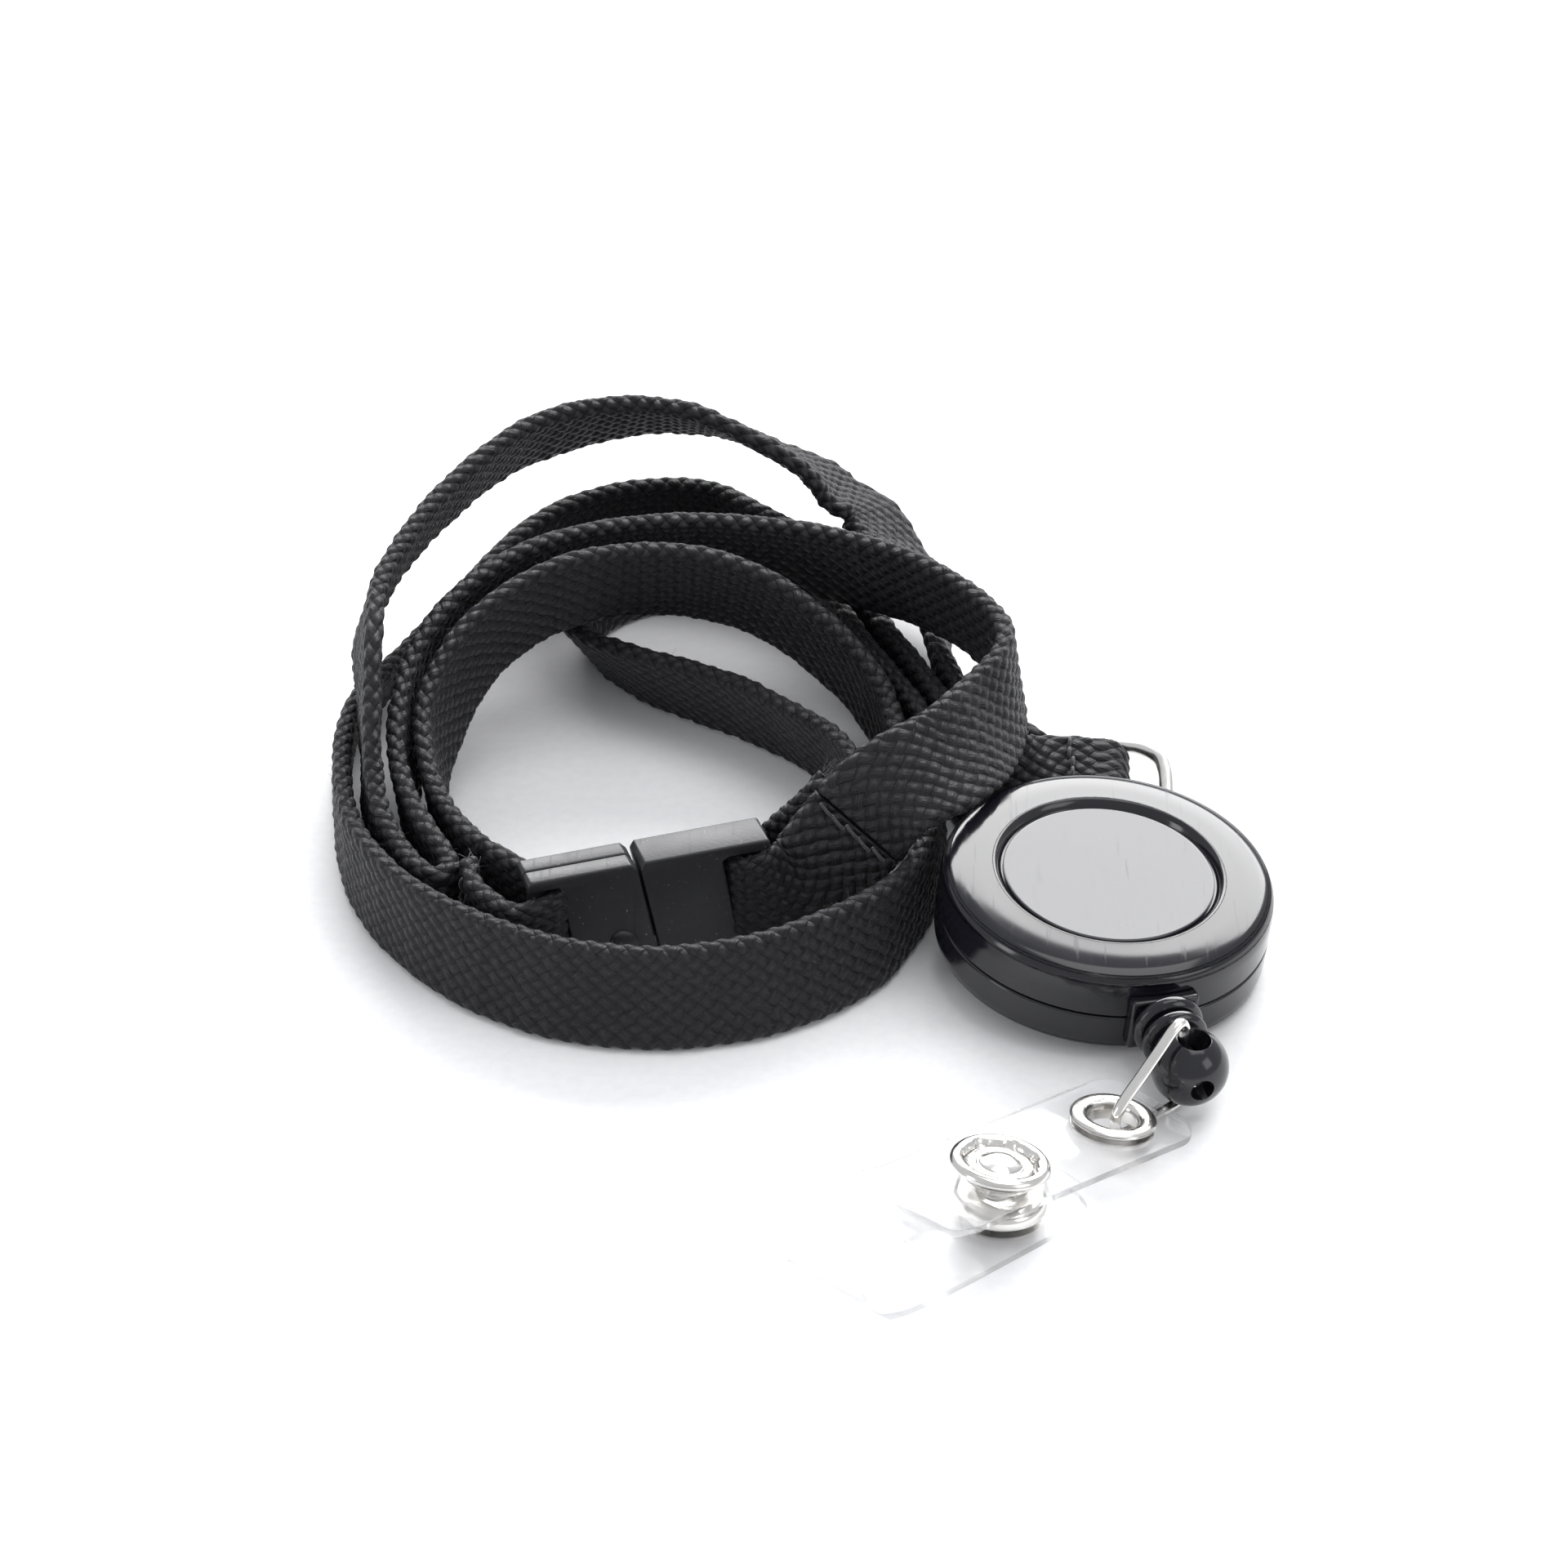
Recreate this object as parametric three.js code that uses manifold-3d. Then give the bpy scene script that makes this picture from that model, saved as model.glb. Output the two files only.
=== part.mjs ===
// Lanyard badge holder: a coiled flat braided neck strap with a pull-apart clasp,
// a D-ring and lug that carry a retractable reel, and a clear snap strap on a wire link.
// Millimetres, +Z up, resting on z = 0.
import * as THREE from 'three';
import { mergeVertices } from 'three/addons/utils/BufferGeometryUtils.js';
import ManifoldModule from 'manifold-3d';

const wasm = await ManifoldModule();
wasm.setup();
const { Manifold, Mesh: ManifoldMesh } = wasm;

// ---- driving dimensions ----
const ORIGIN_X = 22.33;           // layout point that becomes the row's origin
const ORIGIN_Y = -45.42;
const WEB_WIDTH = 10.5;           // flat tubular braid
const WEB_THICK = 1.5;
const REEL_R = 16.0;              // reel body
const REEL_H = 9.2;
const REEL_PART_Z = 4.2;          // height of the parting line above the back
const REEL_WALL = 1.4;
const RECESS_R = 10.6;            // round recess of the front
const RECESS_DEPTH = 0.7;
const REEL_X = 30.0;
const REEL_Y = -29.2;
const REEL_LIFT = 1.6;            // centre of the back above the table
const REEL_TILT = 6.0;            // degrees
const REEL_DOWNHILL = -25.0;      // azimuth of the low side, degrees
const EXIT_AZIMUTH = -72.5;       // azimuth of the cord exit, degrees
const EXIT_Z = 4.7;               // exit axis above the back
const DRUM_R = 13.4;              // flange radius of the cord drum
const DRUM_HUB_R = 10.4;
const CORD_R = 0.4;               // reel cord
const COLLAR_R = 3.4;
const BALL_R = 3.65;
const BALL_X = 23.9;              // ball centre from the reel axis
const LINK_WIRE_R = 0.55;
const STRAP_WIDTH = 12.3;         // clear vinyl strap
const STRAP_THICK = 0.75;
const STRAP_HEADING = -135.0;     // azimuth of its long axis, degrees
const STRAP_X = 35.1;             // middle of its reel end
const STRAP_Y = -53.85;
const EYELET_T = 7.0;             // eyelet centre along the strap
const SNAP_T = 22.2;              // snap centre along the strap
const FOLD_T0 = 31.0;             // the rigid layers end here and the fold begins
const CLASP_X = -13.3;
const CLASP_Y = -28.6;
const CLASP_AZIMUTH = 17.7;
const CLASP_H = 12.4;
const CLASP_T = 4.0;
const CLASP_BAR = 10.5;           // strap bar from the clasp's seam
const CLASP_BAR_R = 1.1;
const RING_BAR = [31.2, -6.4, 3.9];  // middle of the D-ring's straight bar
const RING_LEAN = 76.0;           // degrees the bar leans from upright, top away
const RING_WIRE_R = 0.8;
const LUG_AZIMUTH = 69.0;         // direction of the lug under the reel, degrees

const rad = THREE.MathUtils.degToRad;
const V = (x, y, z) => new THREE.Vector3(x, y, z);

// ---- materials ----
function finish(color, roughness, metalness, opacity = 1) {
  const transparent = opacity < 1;
  return new THREE.MeshStandardMaterial({ color, roughness, metalness, opacity, transparent });
}
const LOOK = {
  webbing: () => finish(0x111113, 0.85, 0.0),
  gloss: () => finish(0x16171c, 0.18, 0.0),
  satin: () => finish(0x1d1e22, 0.5, 0.0),
  inner: () => finish(0x2a2b2e, 0.6, 0.0),
  cord: () => finish(0x141416, 0.8, 0.0),
  nickel: () => finish(0xc9c9c6, 0.22, 1.0),
  steel: () => finish(0xb4b6b8, 0.3, 1.0),
  vinyl: () => finish(0xeef1f2, 0.12, 0.0, 0.35),
  thread: () => finish(0x0d0d0f, 0.8, 0.0),
};

// ---- helpers ----
// Merge the shared vertices, drop the flat triangles and turn the faces outward.
function solid(geometry) {
  let g = geometry.clone();
  for (const name of Object.keys(g.attributes)) if (name !== 'position') g.deleteAttribute(name);
  g = mergeVertices(g, 1e-4);
  const p = g.getAttribute('position');
  const index = [];
  let volume = 0;
  const a = V(0, 0, 0);
  const b = V(0, 0, 0);
  const c = V(0, 0, 0);
  for (let i = 0; i < g.index.count; i += 3) {
    const [i0, i1, i2] = [g.index.getX(i), g.index.getX(i + 1), g.index.getX(i + 2)];
    if (i0 === i1 || i1 === i2 || i2 === i0) continue;
    index.push(i0, i1, i2);
    a.fromBufferAttribute(p, i0);
    b.fromBufferAttribute(p, i1);
    c.fromBufferAttribute(p, i2);
    volume += a.dot(b.cross(c));
  }
  if (volume < 0) {
    for (let i = 0; i < index.length; i += 3) [index[i], index[i + 1]] = [index[i + 1], index[i]];
  }
  g.setIndex(index);
  g.computeVertexNormals();
  return g;
}

function toManifold(geometry) {
  const g = solid(geometry);
  const mesh = new ManifoldMesh({
    numProp: 3,
    vertProperties: Float32Array.from(g.getAttribute('position').array),
    triVerts: Uint32Array.from(g.index.array),
  });
  mesh.merge();
  return new Manifold(mesh);
}

function fromManifold(body) {
  const mesh = body.getMesh();
  const g = new THREE.BufferGeometry();
  g.setAttribute('position', new THREE.BufferAttribute(Float32Array.from(mesh.vertProperties), 3));
  g.setIndex(new THREE.BufferAttribute(Uint32Array.from(mesh.triVerts), 1));
  g.computeVertexNormals();
  return g;
}

const subtract = (base, ...tools) => {
  let m = toManifold(base);
  for (const t of tools) m = m.subtract(toManifold(t));
  return fromManifold(m);
};
const join = (base, ...more) => {
  let m = toManifold(base);
  for (const t of more) m = m.add(toManifold(t));
  return fromManifold(m);
};

const box = (x0, x1, y0, y1, z0, z1) => {
  const g = new THREE.BoxGeometry(x1 - x0, y1 - y0, z1 - z0);
  return g.translate((x0 + x1) / 2, (y0 + y1) / 2, (z0 + z1) / 2);
};
const latheZ = (profile, segments = 40) => {
  const pts = profile.map(([r, z]) => new THREE.Vector2(r, z));
  return new THREE.LatheGeometry(pts, segments).rotateX(Math.PI / 2);
};
const latheX = (profile, segments = 24) => {
  const pts = profile.map(([r, x]) => new THREE.Vector2(r, x));
  return new THREE.LatheGeometry(pts, segments).rotateZ(-Math.PI / 2);
};
const cylZ = (r, z0, z1, segments = 24) => {
  const g = new THREE.CylinderGeometry(r, r, z1 - z0, segments).rotateX(Math.PI / 2);
  return g.translate(0, 0, (z0 + z1) / 2);
};
const cylX = (r, x0, x1, segments = 16) => {
  const g = new THREE.CylinderGeometry(r, r, x1 - x0, segments).rotateZ(Math.PI / 2);
  return g.translate((x0 + x1) / 2, 0, 0);
};

function node(parent, name, geometry, look) {
  const mesh = new THREE.Mesh(solid(geometry), LOOK[look]());
  mesh.name = name;
  parent.add(mesh);
  return mesh;
}

// ---- flat webbing on a route of [x, y, z, lean] points ----
// Lean is the angle from upright; a positive lean tips the top edge to the left of travel.
class WebbingPath extends THREE.Curve {
  constructor(route) {
    super();
    this.arcLengthDivisions = 3000;
    const rest = ([x, y, z, lean]) => {
      const a = rad(Math.abs(lean));
      return V(x, y, Math.max(z, (WEB_WIDTH / 2) * Math.cos(a) + (WEB_THICK / 2) * Math.sin(a) + 0.08));
    };
    this.spine = new THREE.CatmullRomCurve3(route.map(rest), false, 'centripetal');
    this.lean = new THREE.CatmullRomCurve3(route.map((p, i) => V(p[3], i * 20, 0)));
  }

  getPoint(t, target) {
    return this.spine.getPoint(t, target);
  }

  computeFrenetFrames(steps) {
    const frames = { tangents: [], normals: [], binormals: [] };
    for (let i = 0; i <= steps; i += 1) {
      const t = this.getUtoTmapping(i / steps);
      const tangent = this.spine.getTangent(t);
      const left = V(0, 0, 1).cross(tangent).normalize();
      const up = tangent.clone().cross(left);
      const angle = rad(this.lean.getPoint(t).x);
      const width = up.multiplyScalar(Math.cos(angle)).addScaledVector(left, Math.sin(angle));
      frames.tangents.push(tangent);
      frames.normals.push(width);
      frames.binormals.push(tangent.clone().cross(width));
    }
    return frames;
  }
}

function webbing(route, steps, width = WEB_WIDTH, thick = WEB_THICK) {
  const s = new THREE.Shape();
  s.moveTo(-width / 2, -thick / 2);
  s.lineTo(width / 2, -thick / 2);
  s.lineTo(width / 2, thick / 2);
  s.lineTo(-width / 2, thick / 2);
  s.closePath();
  return new THREE.ExtrudeGeometry(s, { steps, extrudePath: new WebbingPath(route) });
}

// ---- routes of the neck strap, clasp left to ring and clasp right to ring ----
const LEFT_LOOP = [
  [-29.9, -27.9, 5.9, 0], [-29.6, -30.5, 5.9, 0], [-28.1, -33.2, 5.9, 0], [-25.6, -34.9, 6.0, 0],
  [-23.0, -34.2, 6.2, 0], [-21.4, -32.9, 6.2, 0], [-21.5, -30.7, 6.2, 0], [-23.8, -29.3, 6.2, 0],
  [-26.9, -27.0, 6.1, 0], [-28.4, -25.3, 6.0, 0],
];
const LEFT_STRAP = [
  [-29.0, -24.7, 6.0, 0], [-31.0, -21.6, 6.1, 2], [-33.0, -16.8, 6.4, 5], [-34.2, -11.4, 7.5, 8],
  [-34.4, -6.1, 9.0, 9], [-33.2, -1.3, 10.8, 6], [-30.8, 3.4, 12.9, -2], [-27.2, 7.5, 14.4, -10],
  [-21.8, 11.3, 15.4, -15], [-15.0, 13.6, 15.4, -18], [-8.4, 13.5, 15.1, -18], [-1.9, 11.7, 13.7, -18],
  [3.6, 8.6, 11.1, -16], [7.4, 5.2, 8.9, -12], [10.1, 0.9, 6.7, -6], [11.4, -5.0, 5.4, -3],
  [11.5, -9.6, 5.3, 0], [10.9, -12.5, 5.3, 0], [9.4, -13.7, 5.3, 0], [7.9, -12.6, 5.3, 0],
  [7.4, -9.8, 5.3, 6], [5.4, -3.7, 5.1, 18], [1.7, 0.6, 5.1, 22], [-3.0, 4.9, 5.1, 22],
  [-8.3, 8.3, 5.0, 24], [-14.0, 11.7, 4.8, 28], [-18.3, 15.4, 4.6, 33], [-20.8, 19.6, 4.6, 32],
  [-21.4, 24.0, 4.8, 26], [-19.2, 27.8, 5.1, 14], [-14.5, 30.2, 5.3, -2], [-8.5, 30.6, 5.3, -10],
  [-2.0, 29.0, 5.3, -12], [3.0, 25.0, 5.3, -14], [6.0, 19.5, 5.2, -14], [8.4, 12.5, 5.2, -12],
  [11.2, 5.4, 5.2, -8], [13.5, -0.6, 5.3, -4], [14.7, -6.0, 5.3, 0], [14.9, -11.0, 5.3, -2],
  [14.6, -16.5, 5.3, -4], [13.9, -22.2, 5.3, -2], [12.0, -27.6, 5.3, 2], [9.0, -32.5, 5.3, -6],
  [4.8, -36.4, 5.3, -12], [-1.4, -40.2, 5.3, -13], [-7.6, -42.1, 5.3, -12], [-13.0, -42.6, 5.3, -11],
  [-20.8, -41.2, 5.3, -11], [-25.6, -39.0, 5.3, -10], [-30.6, -35.7, 5.3, -7], [-35.4, -31.0, 5.3, -2],
  [-39.2, -25.4, 5.3, 0], [-41.6, -19.6, 5.3, 1], [-42.8, -13.5, 5.3, 0], [-43.3, -7.0, 5.3, -2],
  [-43.2, -0.5, 5.3, -10], [-41.8, 6.2, 4.9, -24], [-38.8, 13.0, 4.8, -28], [-35.2, 19.2, 4.9, -24],
  [-31.8, 25.0, 5.1, -18], [-28.0, 31.0, 5.3, -12], [-24.2, 35.8, 5.3, -12], [-19.8, 38.9, 5.3, -12],
  [-15.5, 40.5, 5.3, -12], [-10.5, 40.9, 5.3, -12], [-6.4, 39.8, 5.3, -12], [-3.2, 37.0, 5.3, -12],
  [1.0, 33.2, 5.3, -14], [4.4, 29.4, 5.2, -14], [7.0, 24.6, 5.2, -14], [9.2, 19.0, 5.2, -13],
  [11.0, 14.0, 5.2, -12], [12.8, 9.4, 5.2, -9], [16.1, 0.2, 5.3, -2], [17.4, -4.2, 5.4, 8],
  [19.8, -7.6, 5.5, 20], [24.2, -8.2, 5.9, 45], [28.0, -7.05, 5.9, 67], [30.7, -6.85, 5.7, 76],
];
const RIGHT_LOOP = [
  [7.2, -21.8, 12.5, -44], [5.2, -22.8, 10.6, -32], [2.9, -23.2, 8.5, -18], [-0.3, -23.2, 6.8, -8],
  [-3.4, -23.1, 6.2, 0], [-5.4, -24.3, 6.2, 0], [-5.3, -26.5, 6.2, 0], [-2.9, -27.8, 6.2, 0],
  [1.9, -26.6, 7.1, 14], [4.6, -25.5, 9.6, 28], [6.9, -24.6, 12.2, 42],
];
const RIGHT_STRAP = [
  [7.6, -24.3, 13.0, 46], [9.4, -23.5, 14.9, 57], [12.3, -22.1, 16.3, 58], [15.9, -19.2, 16.3, 50],
  [18.4, -15.3, 16.1, 38], [20.6, -10.4, 15.7, 24], [22.0, -6.2, 15.8, 12], [22.1, -2.5, 15.9, 8],
  [20.9, 1.3, 15.9, 10], [18.7, 5.1, 16.0, 14], [16.0, 8.3, 16.1, 16], [12.5, 11.3, 16.1, 16],
  [8.0, 13.9, 16.1, 16], [3.0, 16.0, 16.1, 16], [-3.0, 17.6, 15.9, 16], [-9.0, 18.5, 15.7, 16],
  [-15.3, 18.3, 15.4, 16], [-21.0, 16.6, 15.3, 15], [-26.4, 13.6, 15.0, 13], [-30.9, 9.3, 14.2, 9],
  [-34.2, 4.3, 12.9, 3], [-36.3, -1.3, 11.2, -4], [-37.0, -6.8, 9.5, -8], [-36.9, -12.4, 7.9, -8],
  [-35.8, -17.6, 6.9, -5], [-34.0, -22.4, 6.2, -2], [-32.4, -25.6, 5.6, 0], [-31.8, -27.8, 5.4, 0],
  [-33.0, -29.2, 5.4, 0], [-34.6, -28.0, 5.4, 0], [-36.7, -24.4, 5.5, 0], [-38.8, -19.6, 6.4, 0],
  [-39.9, -14.0, 8.6, -2], [-40.3, -8.0, 12.7, -4], [-40.6, -2.0, 16.2, -8], [-40.7, 4.4, 17.2, -15],
  [-39.3, 10.6, 17.8, -21], [-36.4, 17.7, 18.7, -25], [-31.6, 25.2, 19.8, -28], [-26.7, 30.9, 20.4, -32],
  [-21.0, 34.5, 20.5, -36], [-14.8, 36.2, 20.6, -43], [-9.4, 36.1, 20.3, -48], [-5.8, 35.6, 19.4, -54],
  [-3.0, 35.3, 18.2, -60], [-0.6, 35.3, 16.8, -66], [1.6, 35.4, 15.2, -70], [3.7, 35.3, 13.6, -74],
  [5.8, 34.8, 12.1, -74], [8.2, 34.0, 10.6, -68], [10.4, 31.6, 9.0, -58], [12.4, 28.2, 7.6, -46],
  [13.8, 24.0, 6.4, -32], [14.9, 19.0, 5.7, -20], [15.6, 14.0, 5.3, -13], [16.4, 9.0, 5.2, -9],
  [18.6, 0.0, 5.3, 0], [19.8, -3.2, 5.3, 10], [22.2, -4.4, 4.4, 40], [25.0, -5.4, 3.1, 64],
  [28.0, -5.9, 2.5, 74], [30.7, -5.95, 2.13, 76],
];

const holder = new THREE.Group();
const layout = new THREE.Group();
layout.position.set(-ORIGIN_X, -ORIGIN_Y, 0);
holder.add(layout);

node(layout, 'webbing_left', webbing(LEFT_STRAP, 210), 'webbing');
node(layout, 'webbing_right', webbing(RIGHT_STRAP, 160), 'webbing');
node(layout, 'webbing_left_loop', webbing(LEFT_LOOP, 28), 'webbing');
node(layout, 'webbing_right_loop', webbing(RIGHT_LOOP, 34), 'webbing');

// ---- fold of the strap around the D-ring bar, and the D-ring ----
const ringGroup = new THREE.Group();
ringGroup.position.set(...RING_BAR);
ringGroup.rotation.x = -rad(RING_LEAN);      // local z runs up the bar
layout.add(ringGroup);

const foldShape = new THREE.Shape();
foldShape.absarc(0, 0, 1.85 + WEB_THICK / 2, -Math.PI / 2, Math.PI / 2, false);
foldShape.absarc(0, 0, 1.85 - WEB_THICK / 2, Math.PI / 2, -Math.PI / 2, true);
const FOLD_WIDTH = 9.4;           // the fold is gathered between the ring's corners
const foldSolid = new THREE.ExtrudeGeometry(foldShape, {
  depth: FOLD_WIDTH, bevelEnabled: false, curveSegments: 8,
});
node(ringGroup, 'webbing_ring_fold', foldSolid.translate(0.15, 0, -FOLD_WIDTH / 2), 'webbing');

class RingPath extends THREE.Curve {
  constructor(halfBar, reach, corner) {
    super();
    this.arcLengthDivisions = 800;
    this.path = new THREE.CurvePath();
    const [b, r, k] = [halfBar, reach, corner];
    this.path.add(new THREE.LineCurve3(V(0, 0, 0), V(0, 0, b - k)));
    this.path.add(new THREE.QuadraticBezierCurve3(V(0, 0, b - k), V(0, 0, b), V(k, 0, b)));
    this.path.add(new THREE.CubicBezierCurve3(V(k, 0, b), V(r, 0, b), V(r, 0, b * 0.55), V(r, 0, 0)));
    this.path.add(new THREE.CubicBezierCurve3(V(r, 0, 0), V(r, 0, -b * 0.55), V(r, 0, -b), V(k, 0, -b)));
    this.path.add(new THREE.QuadraticBezierCurve3(V(k, 0, -b), V(0, 0, -b), V(0, 0, k - b)));
    this.path.add(new THREE.LineCurve3(V(0, 0, k - b), V(0, 0, 0)));
  }

  getPoint(t, target = V(0, 0, 0)) {
    return target.copy(this.path.getPoint(Math.min(Math.max(t, 0), 1)));
  }
}

// A closed wire loop: two half tubes joined end to end.
function wireLoop(points, radius, tension = 0.5, closedSteps = 72) {
  const curve = new THREE.CatmullRomCurve3(points, true, 'catmullrom', tension);
  const ring = new THREE.Shape();
  ring.absarc(0, 0, radius, 0, Math.PI * 2, false);
  return new THREE.ExtrudeGeometry(ring, { steps: closedSteps, extrudePath: curve, curveSegments: 4 });
}
const ringCurve = new RingPath(5.8, 6.4, 1.2);
const ringPoints = [];
for (let i = 0; i < 36; i += 1) ringPoints.push(ringCurve.getPointAt(i / 36));
node(ringGroup, 'd_ring', wireLoop(ringPoints, RING_WIRE_R, 0.5, 40), 'nickel');

// ---- reel ----
const reel = new THREE.Group();
reel.position.set(REEL_X, REEL_Y, REEL_LIFT);
const downhill = rad(REEL_DOWNHILL);
const tiltAxis = V(-Math.sin(downhill), Math.cos(downhill), 0);
const tilt = new THREE.Quaternion().setFromAxisAngle(tiltAxis, rad(REEL_TILT));
const turn = new THREE.Quaternion().setFromAxisAngle(V(0, 0, 1), rad(EXIT_AZIMUTH));
reel.quaternion.copy(tilt.multiply(turn));
layout.add(reel);

const inside = REEL_R - REEL_WALL;
const exitHole = cylX(1.1, 12, 19, 12).translate(0, 0, EXIT_Z);
const backProfile = [
  [2.0, 0], [REEL_R - 1.0, 0], [REEL_R - 0.3, 0.3], [REEL_R, 1.0], [REEL_R, REEL_PART_Z - 0.15],
  [inside, REEL_PART_Z - 0.15], [inside, 1.3], [2.0, 1.3], [2.0, 0],
];
node(reel, 'back_cover', subtract(latheZ(backProfile, 36), exitHole), 'gloss');
const top = REEL_H;
const frontProfile = [
  [inside, REEL_PART_Z + 0.15], [REEL_R, REEL_PART_Z + 0.15], [REEL_R, top - 2.4],
  [REEL_R - 0.35, top - 1.3], [REEL_R - 1.2, top - 0.5], [REEL_R - 2.4, top - 0.1],
  [REEL_R - 3.4, top], [RECESS_R + 0.6, top], [RECESS_R + 0.5, top - 0.35],
  [RECESS_R, top - 0.35], [RECESS_R - 0.1, top - RECESS_DEPTH], [0, top - RECESS_DEPTH],
  [0, top - 1.9], [inside - 0.8, top - 1.9], [inside, top - 2.8], [inside, REEL_PART_Z + 0.15],
];
node(reel, 'front_cover', subtract(latheZ(frontProfile, 36), exitHole), 'gloss');
const discR = RECESS_R - 0.5;
node(reel, 'front_disc', cylZ(discR, top - RECESS_DEPTH + 0.02, top - RECESS_DEPTH + 0.3, 36), 'gloss');

// post and rivet: the reel turns on the rivet, the drum turns on the post
node(reel, 'centre_post', latheZ([
  [0, 1.6], [2.6, 1.6], [2.6, 2.0], [1.6, 2.0], [1.6, top - 2.2], [0, top - 2.2],
], 20), 'inner');
node(reel, 'lug_rivet', latheZ([
  [0, -1.15], [1.6, -1.15], [1.6, 1.45], [0, 1.45],
], 20), 'nickel');
node(reel, 'cord_drum', latheZ([
  [2.3, 2.2], [DRUM_R, 2.2], [DRUM_R, 2.8], [DRUM_HUB_R, 2.8], [DRUM_HUB_R, 6.2], [DRUM_R, 6.2],
  [DRUM_R, 6.8], [DRUM_HUB_R - 0.9, 6.8], [DRUM_HUB_R - 0.9, 2.8], [2.3, 2.8], [2.3, 2.2],
], 28), 'inner');
const wound = [[DRUM_HUB_R + 0.3, 3.1], [12.6, 3.1], [12.8, 3.6], [12.6, 4.1], [12.8, 4.6], [12.6, 5.1],
  [12.8, 5.5], [12.6, 5.9], [DRUM_HUB_R + 0.3, 5.9], [DRUM_HUB_R + 0.3, 3.1]];
node(reel, 'wound_cord', latheZ(wound, 24), 'cord');

// flat spiral spring around the post
const springTurns = 4.25;
const springSteps = 64;
const outerLine = [];
const innerLine = [];
for (let i = 0; i <= springSteps; i += 1) {
  const a = (i / springSteps) * springTurns * Math.PI * 2;
  const r = 2.6 + (6.2 * i) / springSteps;
  outerLine.push(new THREE.Vector2((r + 0.15) * Math.cos(a), (r + 0.15) * Math.sin(a)));
  innerLine.unshift(new THREE.Vector2((r - 0.15) * Math.cos(a), (r - 0.15) * Math.sin(a)));
}
const springShape = new THREE.Shape([...outerLine, ...innerLine]);
const springSolid = new THREE.ExtrudeGeometry(springShape, { depth: 2.6, bevelEnabled: false });
node(reel, 'power_spring', springSolid.translate(0, 0, 3.2), 'steel');

// frame around the cord exit, its back hugging the rim
const rimCut = cylZ(REEL_R + 0.2, 0, REEL_H, 96);
const frameHole = cylX(1.3, 14, 19, 14).translate(0, 0, EXIT_Z);
node(reel, 'exit_frame', subtract(box(15.2, 17.0, -3.3, 3.3, 1.6, 7.0), rimCut, frameHole), 'gloss');

// end fitting: two collars and a ball, bored for the cord and cross-bored for the link
const fittingProfile = [
  [0, 17.3], [COLLAR_R - 0.5, 17.3], [COLLAR_R, 17.7], [COLLAR_R, 18.3], [COLLAR_R - 0.4, 18.7],
  [2.3, 18.8], [2.3, 19.1], [COLLAR_R - 0.6, 19.2], [COLLAR_R - 0.2, 19.6], [COLLAR_R - 0.2, 20.1],
  [COLLAR_R - 0.7, 20.5], [2.1, 20.6], [2.1, 20.95],
];
for (let i = 1; i <= 9; i += 1) {
  const a = 0.62 + ((Math.PI - 0.62) * i) / 9;
  fittingProfile.push([i === 9 ? 0 : BALL_R * Math.sin(a), BALL_X - BALL_R * Math.cos(a)]);
}
const crossHole = cylZ(1.6, EXIT_Z - 6, EXIT_Z + 6, 16).translate(BALL_X, 0, 0);
const cordBore = cylX(0.75, 16, 21.2, 12).translate(0, 0, EXIT_Z);
const knotBore = cylX(1.35, 21.0, 24, 12).translate(0, 0, EXIT_Z);
const endHole = cylX(1.15, 24, 29, 14).translate(0, 0, EXIT_Z);
const fitting = latheX(fittingProfile, 20).translate(0, 0, EXIT_Z);
node(reel, 'end_fitting', subtract(fitting, crossHole, cordBore, knotBore, endHole), 'gloss');
const knot = new THREE.SphereGeometry(1.0, 12, 8);
node(reel, 'cord_knot', knot.translate(22.1, 0, EXIT_Z), 'cord');
node(reel, 'reel_cord', cylX(CORD_R, 13.2, 20.85, 10).translate(0, 0, EXIT_Z), 'cord');

// lug under the back, carried by the D-ring: flat, then raised to a slotted eye
const lug = new THREE.Group();
lug.position.copy(reel.position);
const lugTurn = new THREE.Quaternion().setFromAxisAngle(V(0, 0, 1), rad(LUG_AZIMUTH));
lug.quaternion.setFromAxisAngle(tiltAxis, rad(REEL_TILT)).multiply(lugTurn);
layout.add(lug);
const lugSide = new THREE.Shape([
  [-4.0, -1.15], [15.6, -1.15], [17.2, -1.5], [21.6, -1.5], [21.6, -0.75],
  [17.4, -0.75], [15.8, -0.2], [-4.0, -0.2],
].map(([x, z]) => new THREE.Vector2(x, z)));
const lugSolid = new THREE.ExtrudeGeometry(lugSide, { depth: 4.4, bevelEnabled: false });
lugSolid.rotateX(Math.PI / 2).translate(0, 2.2, 0);
// a short sleeve around the ring's bow, joined to the arm by a web
layout.updateMatrixWorld(true);
ringGroup.updateMatrixWorld(true);
const bowU = 0.61;
const bowPoint = lug.worldToLocal(ringGroup.localToWorld(ringCurve.getPointAt(bowU)));
const bowNext = lug.worldToLocal(ringGroup.localToWorld(ringCurve.getPointAt(bowU + 0.01)));
const bowDir = bowNext.sub(bowPoint).normalize();
const alongBow = new THREE.Quaternion().setFromUnitVectors(V(0, 1, 0), bowDir);
const sleeveAt = (r, h) => {
  const g = new THREE.CylinderGeometry(r, r, h, 20).applyQuaternion(alongBow);
  return g.translate(bowPoint.x, bowPoint.y, bowPoint.z);
};
const web = box(bowPoint.x - 1.3, bowPoint.x + 1.3, bowPoint.y - 1.2, bowPoint.y + 1.2, -1.2, bowPoint.z);
node(lug, 'rear_lug', subtract(join(lugSolid, sleeveAt(2.05, 2.8), web), sleeveAt(1.28, 9), cylZ(1.9, -3, 3, 20)), 'satin');

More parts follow.
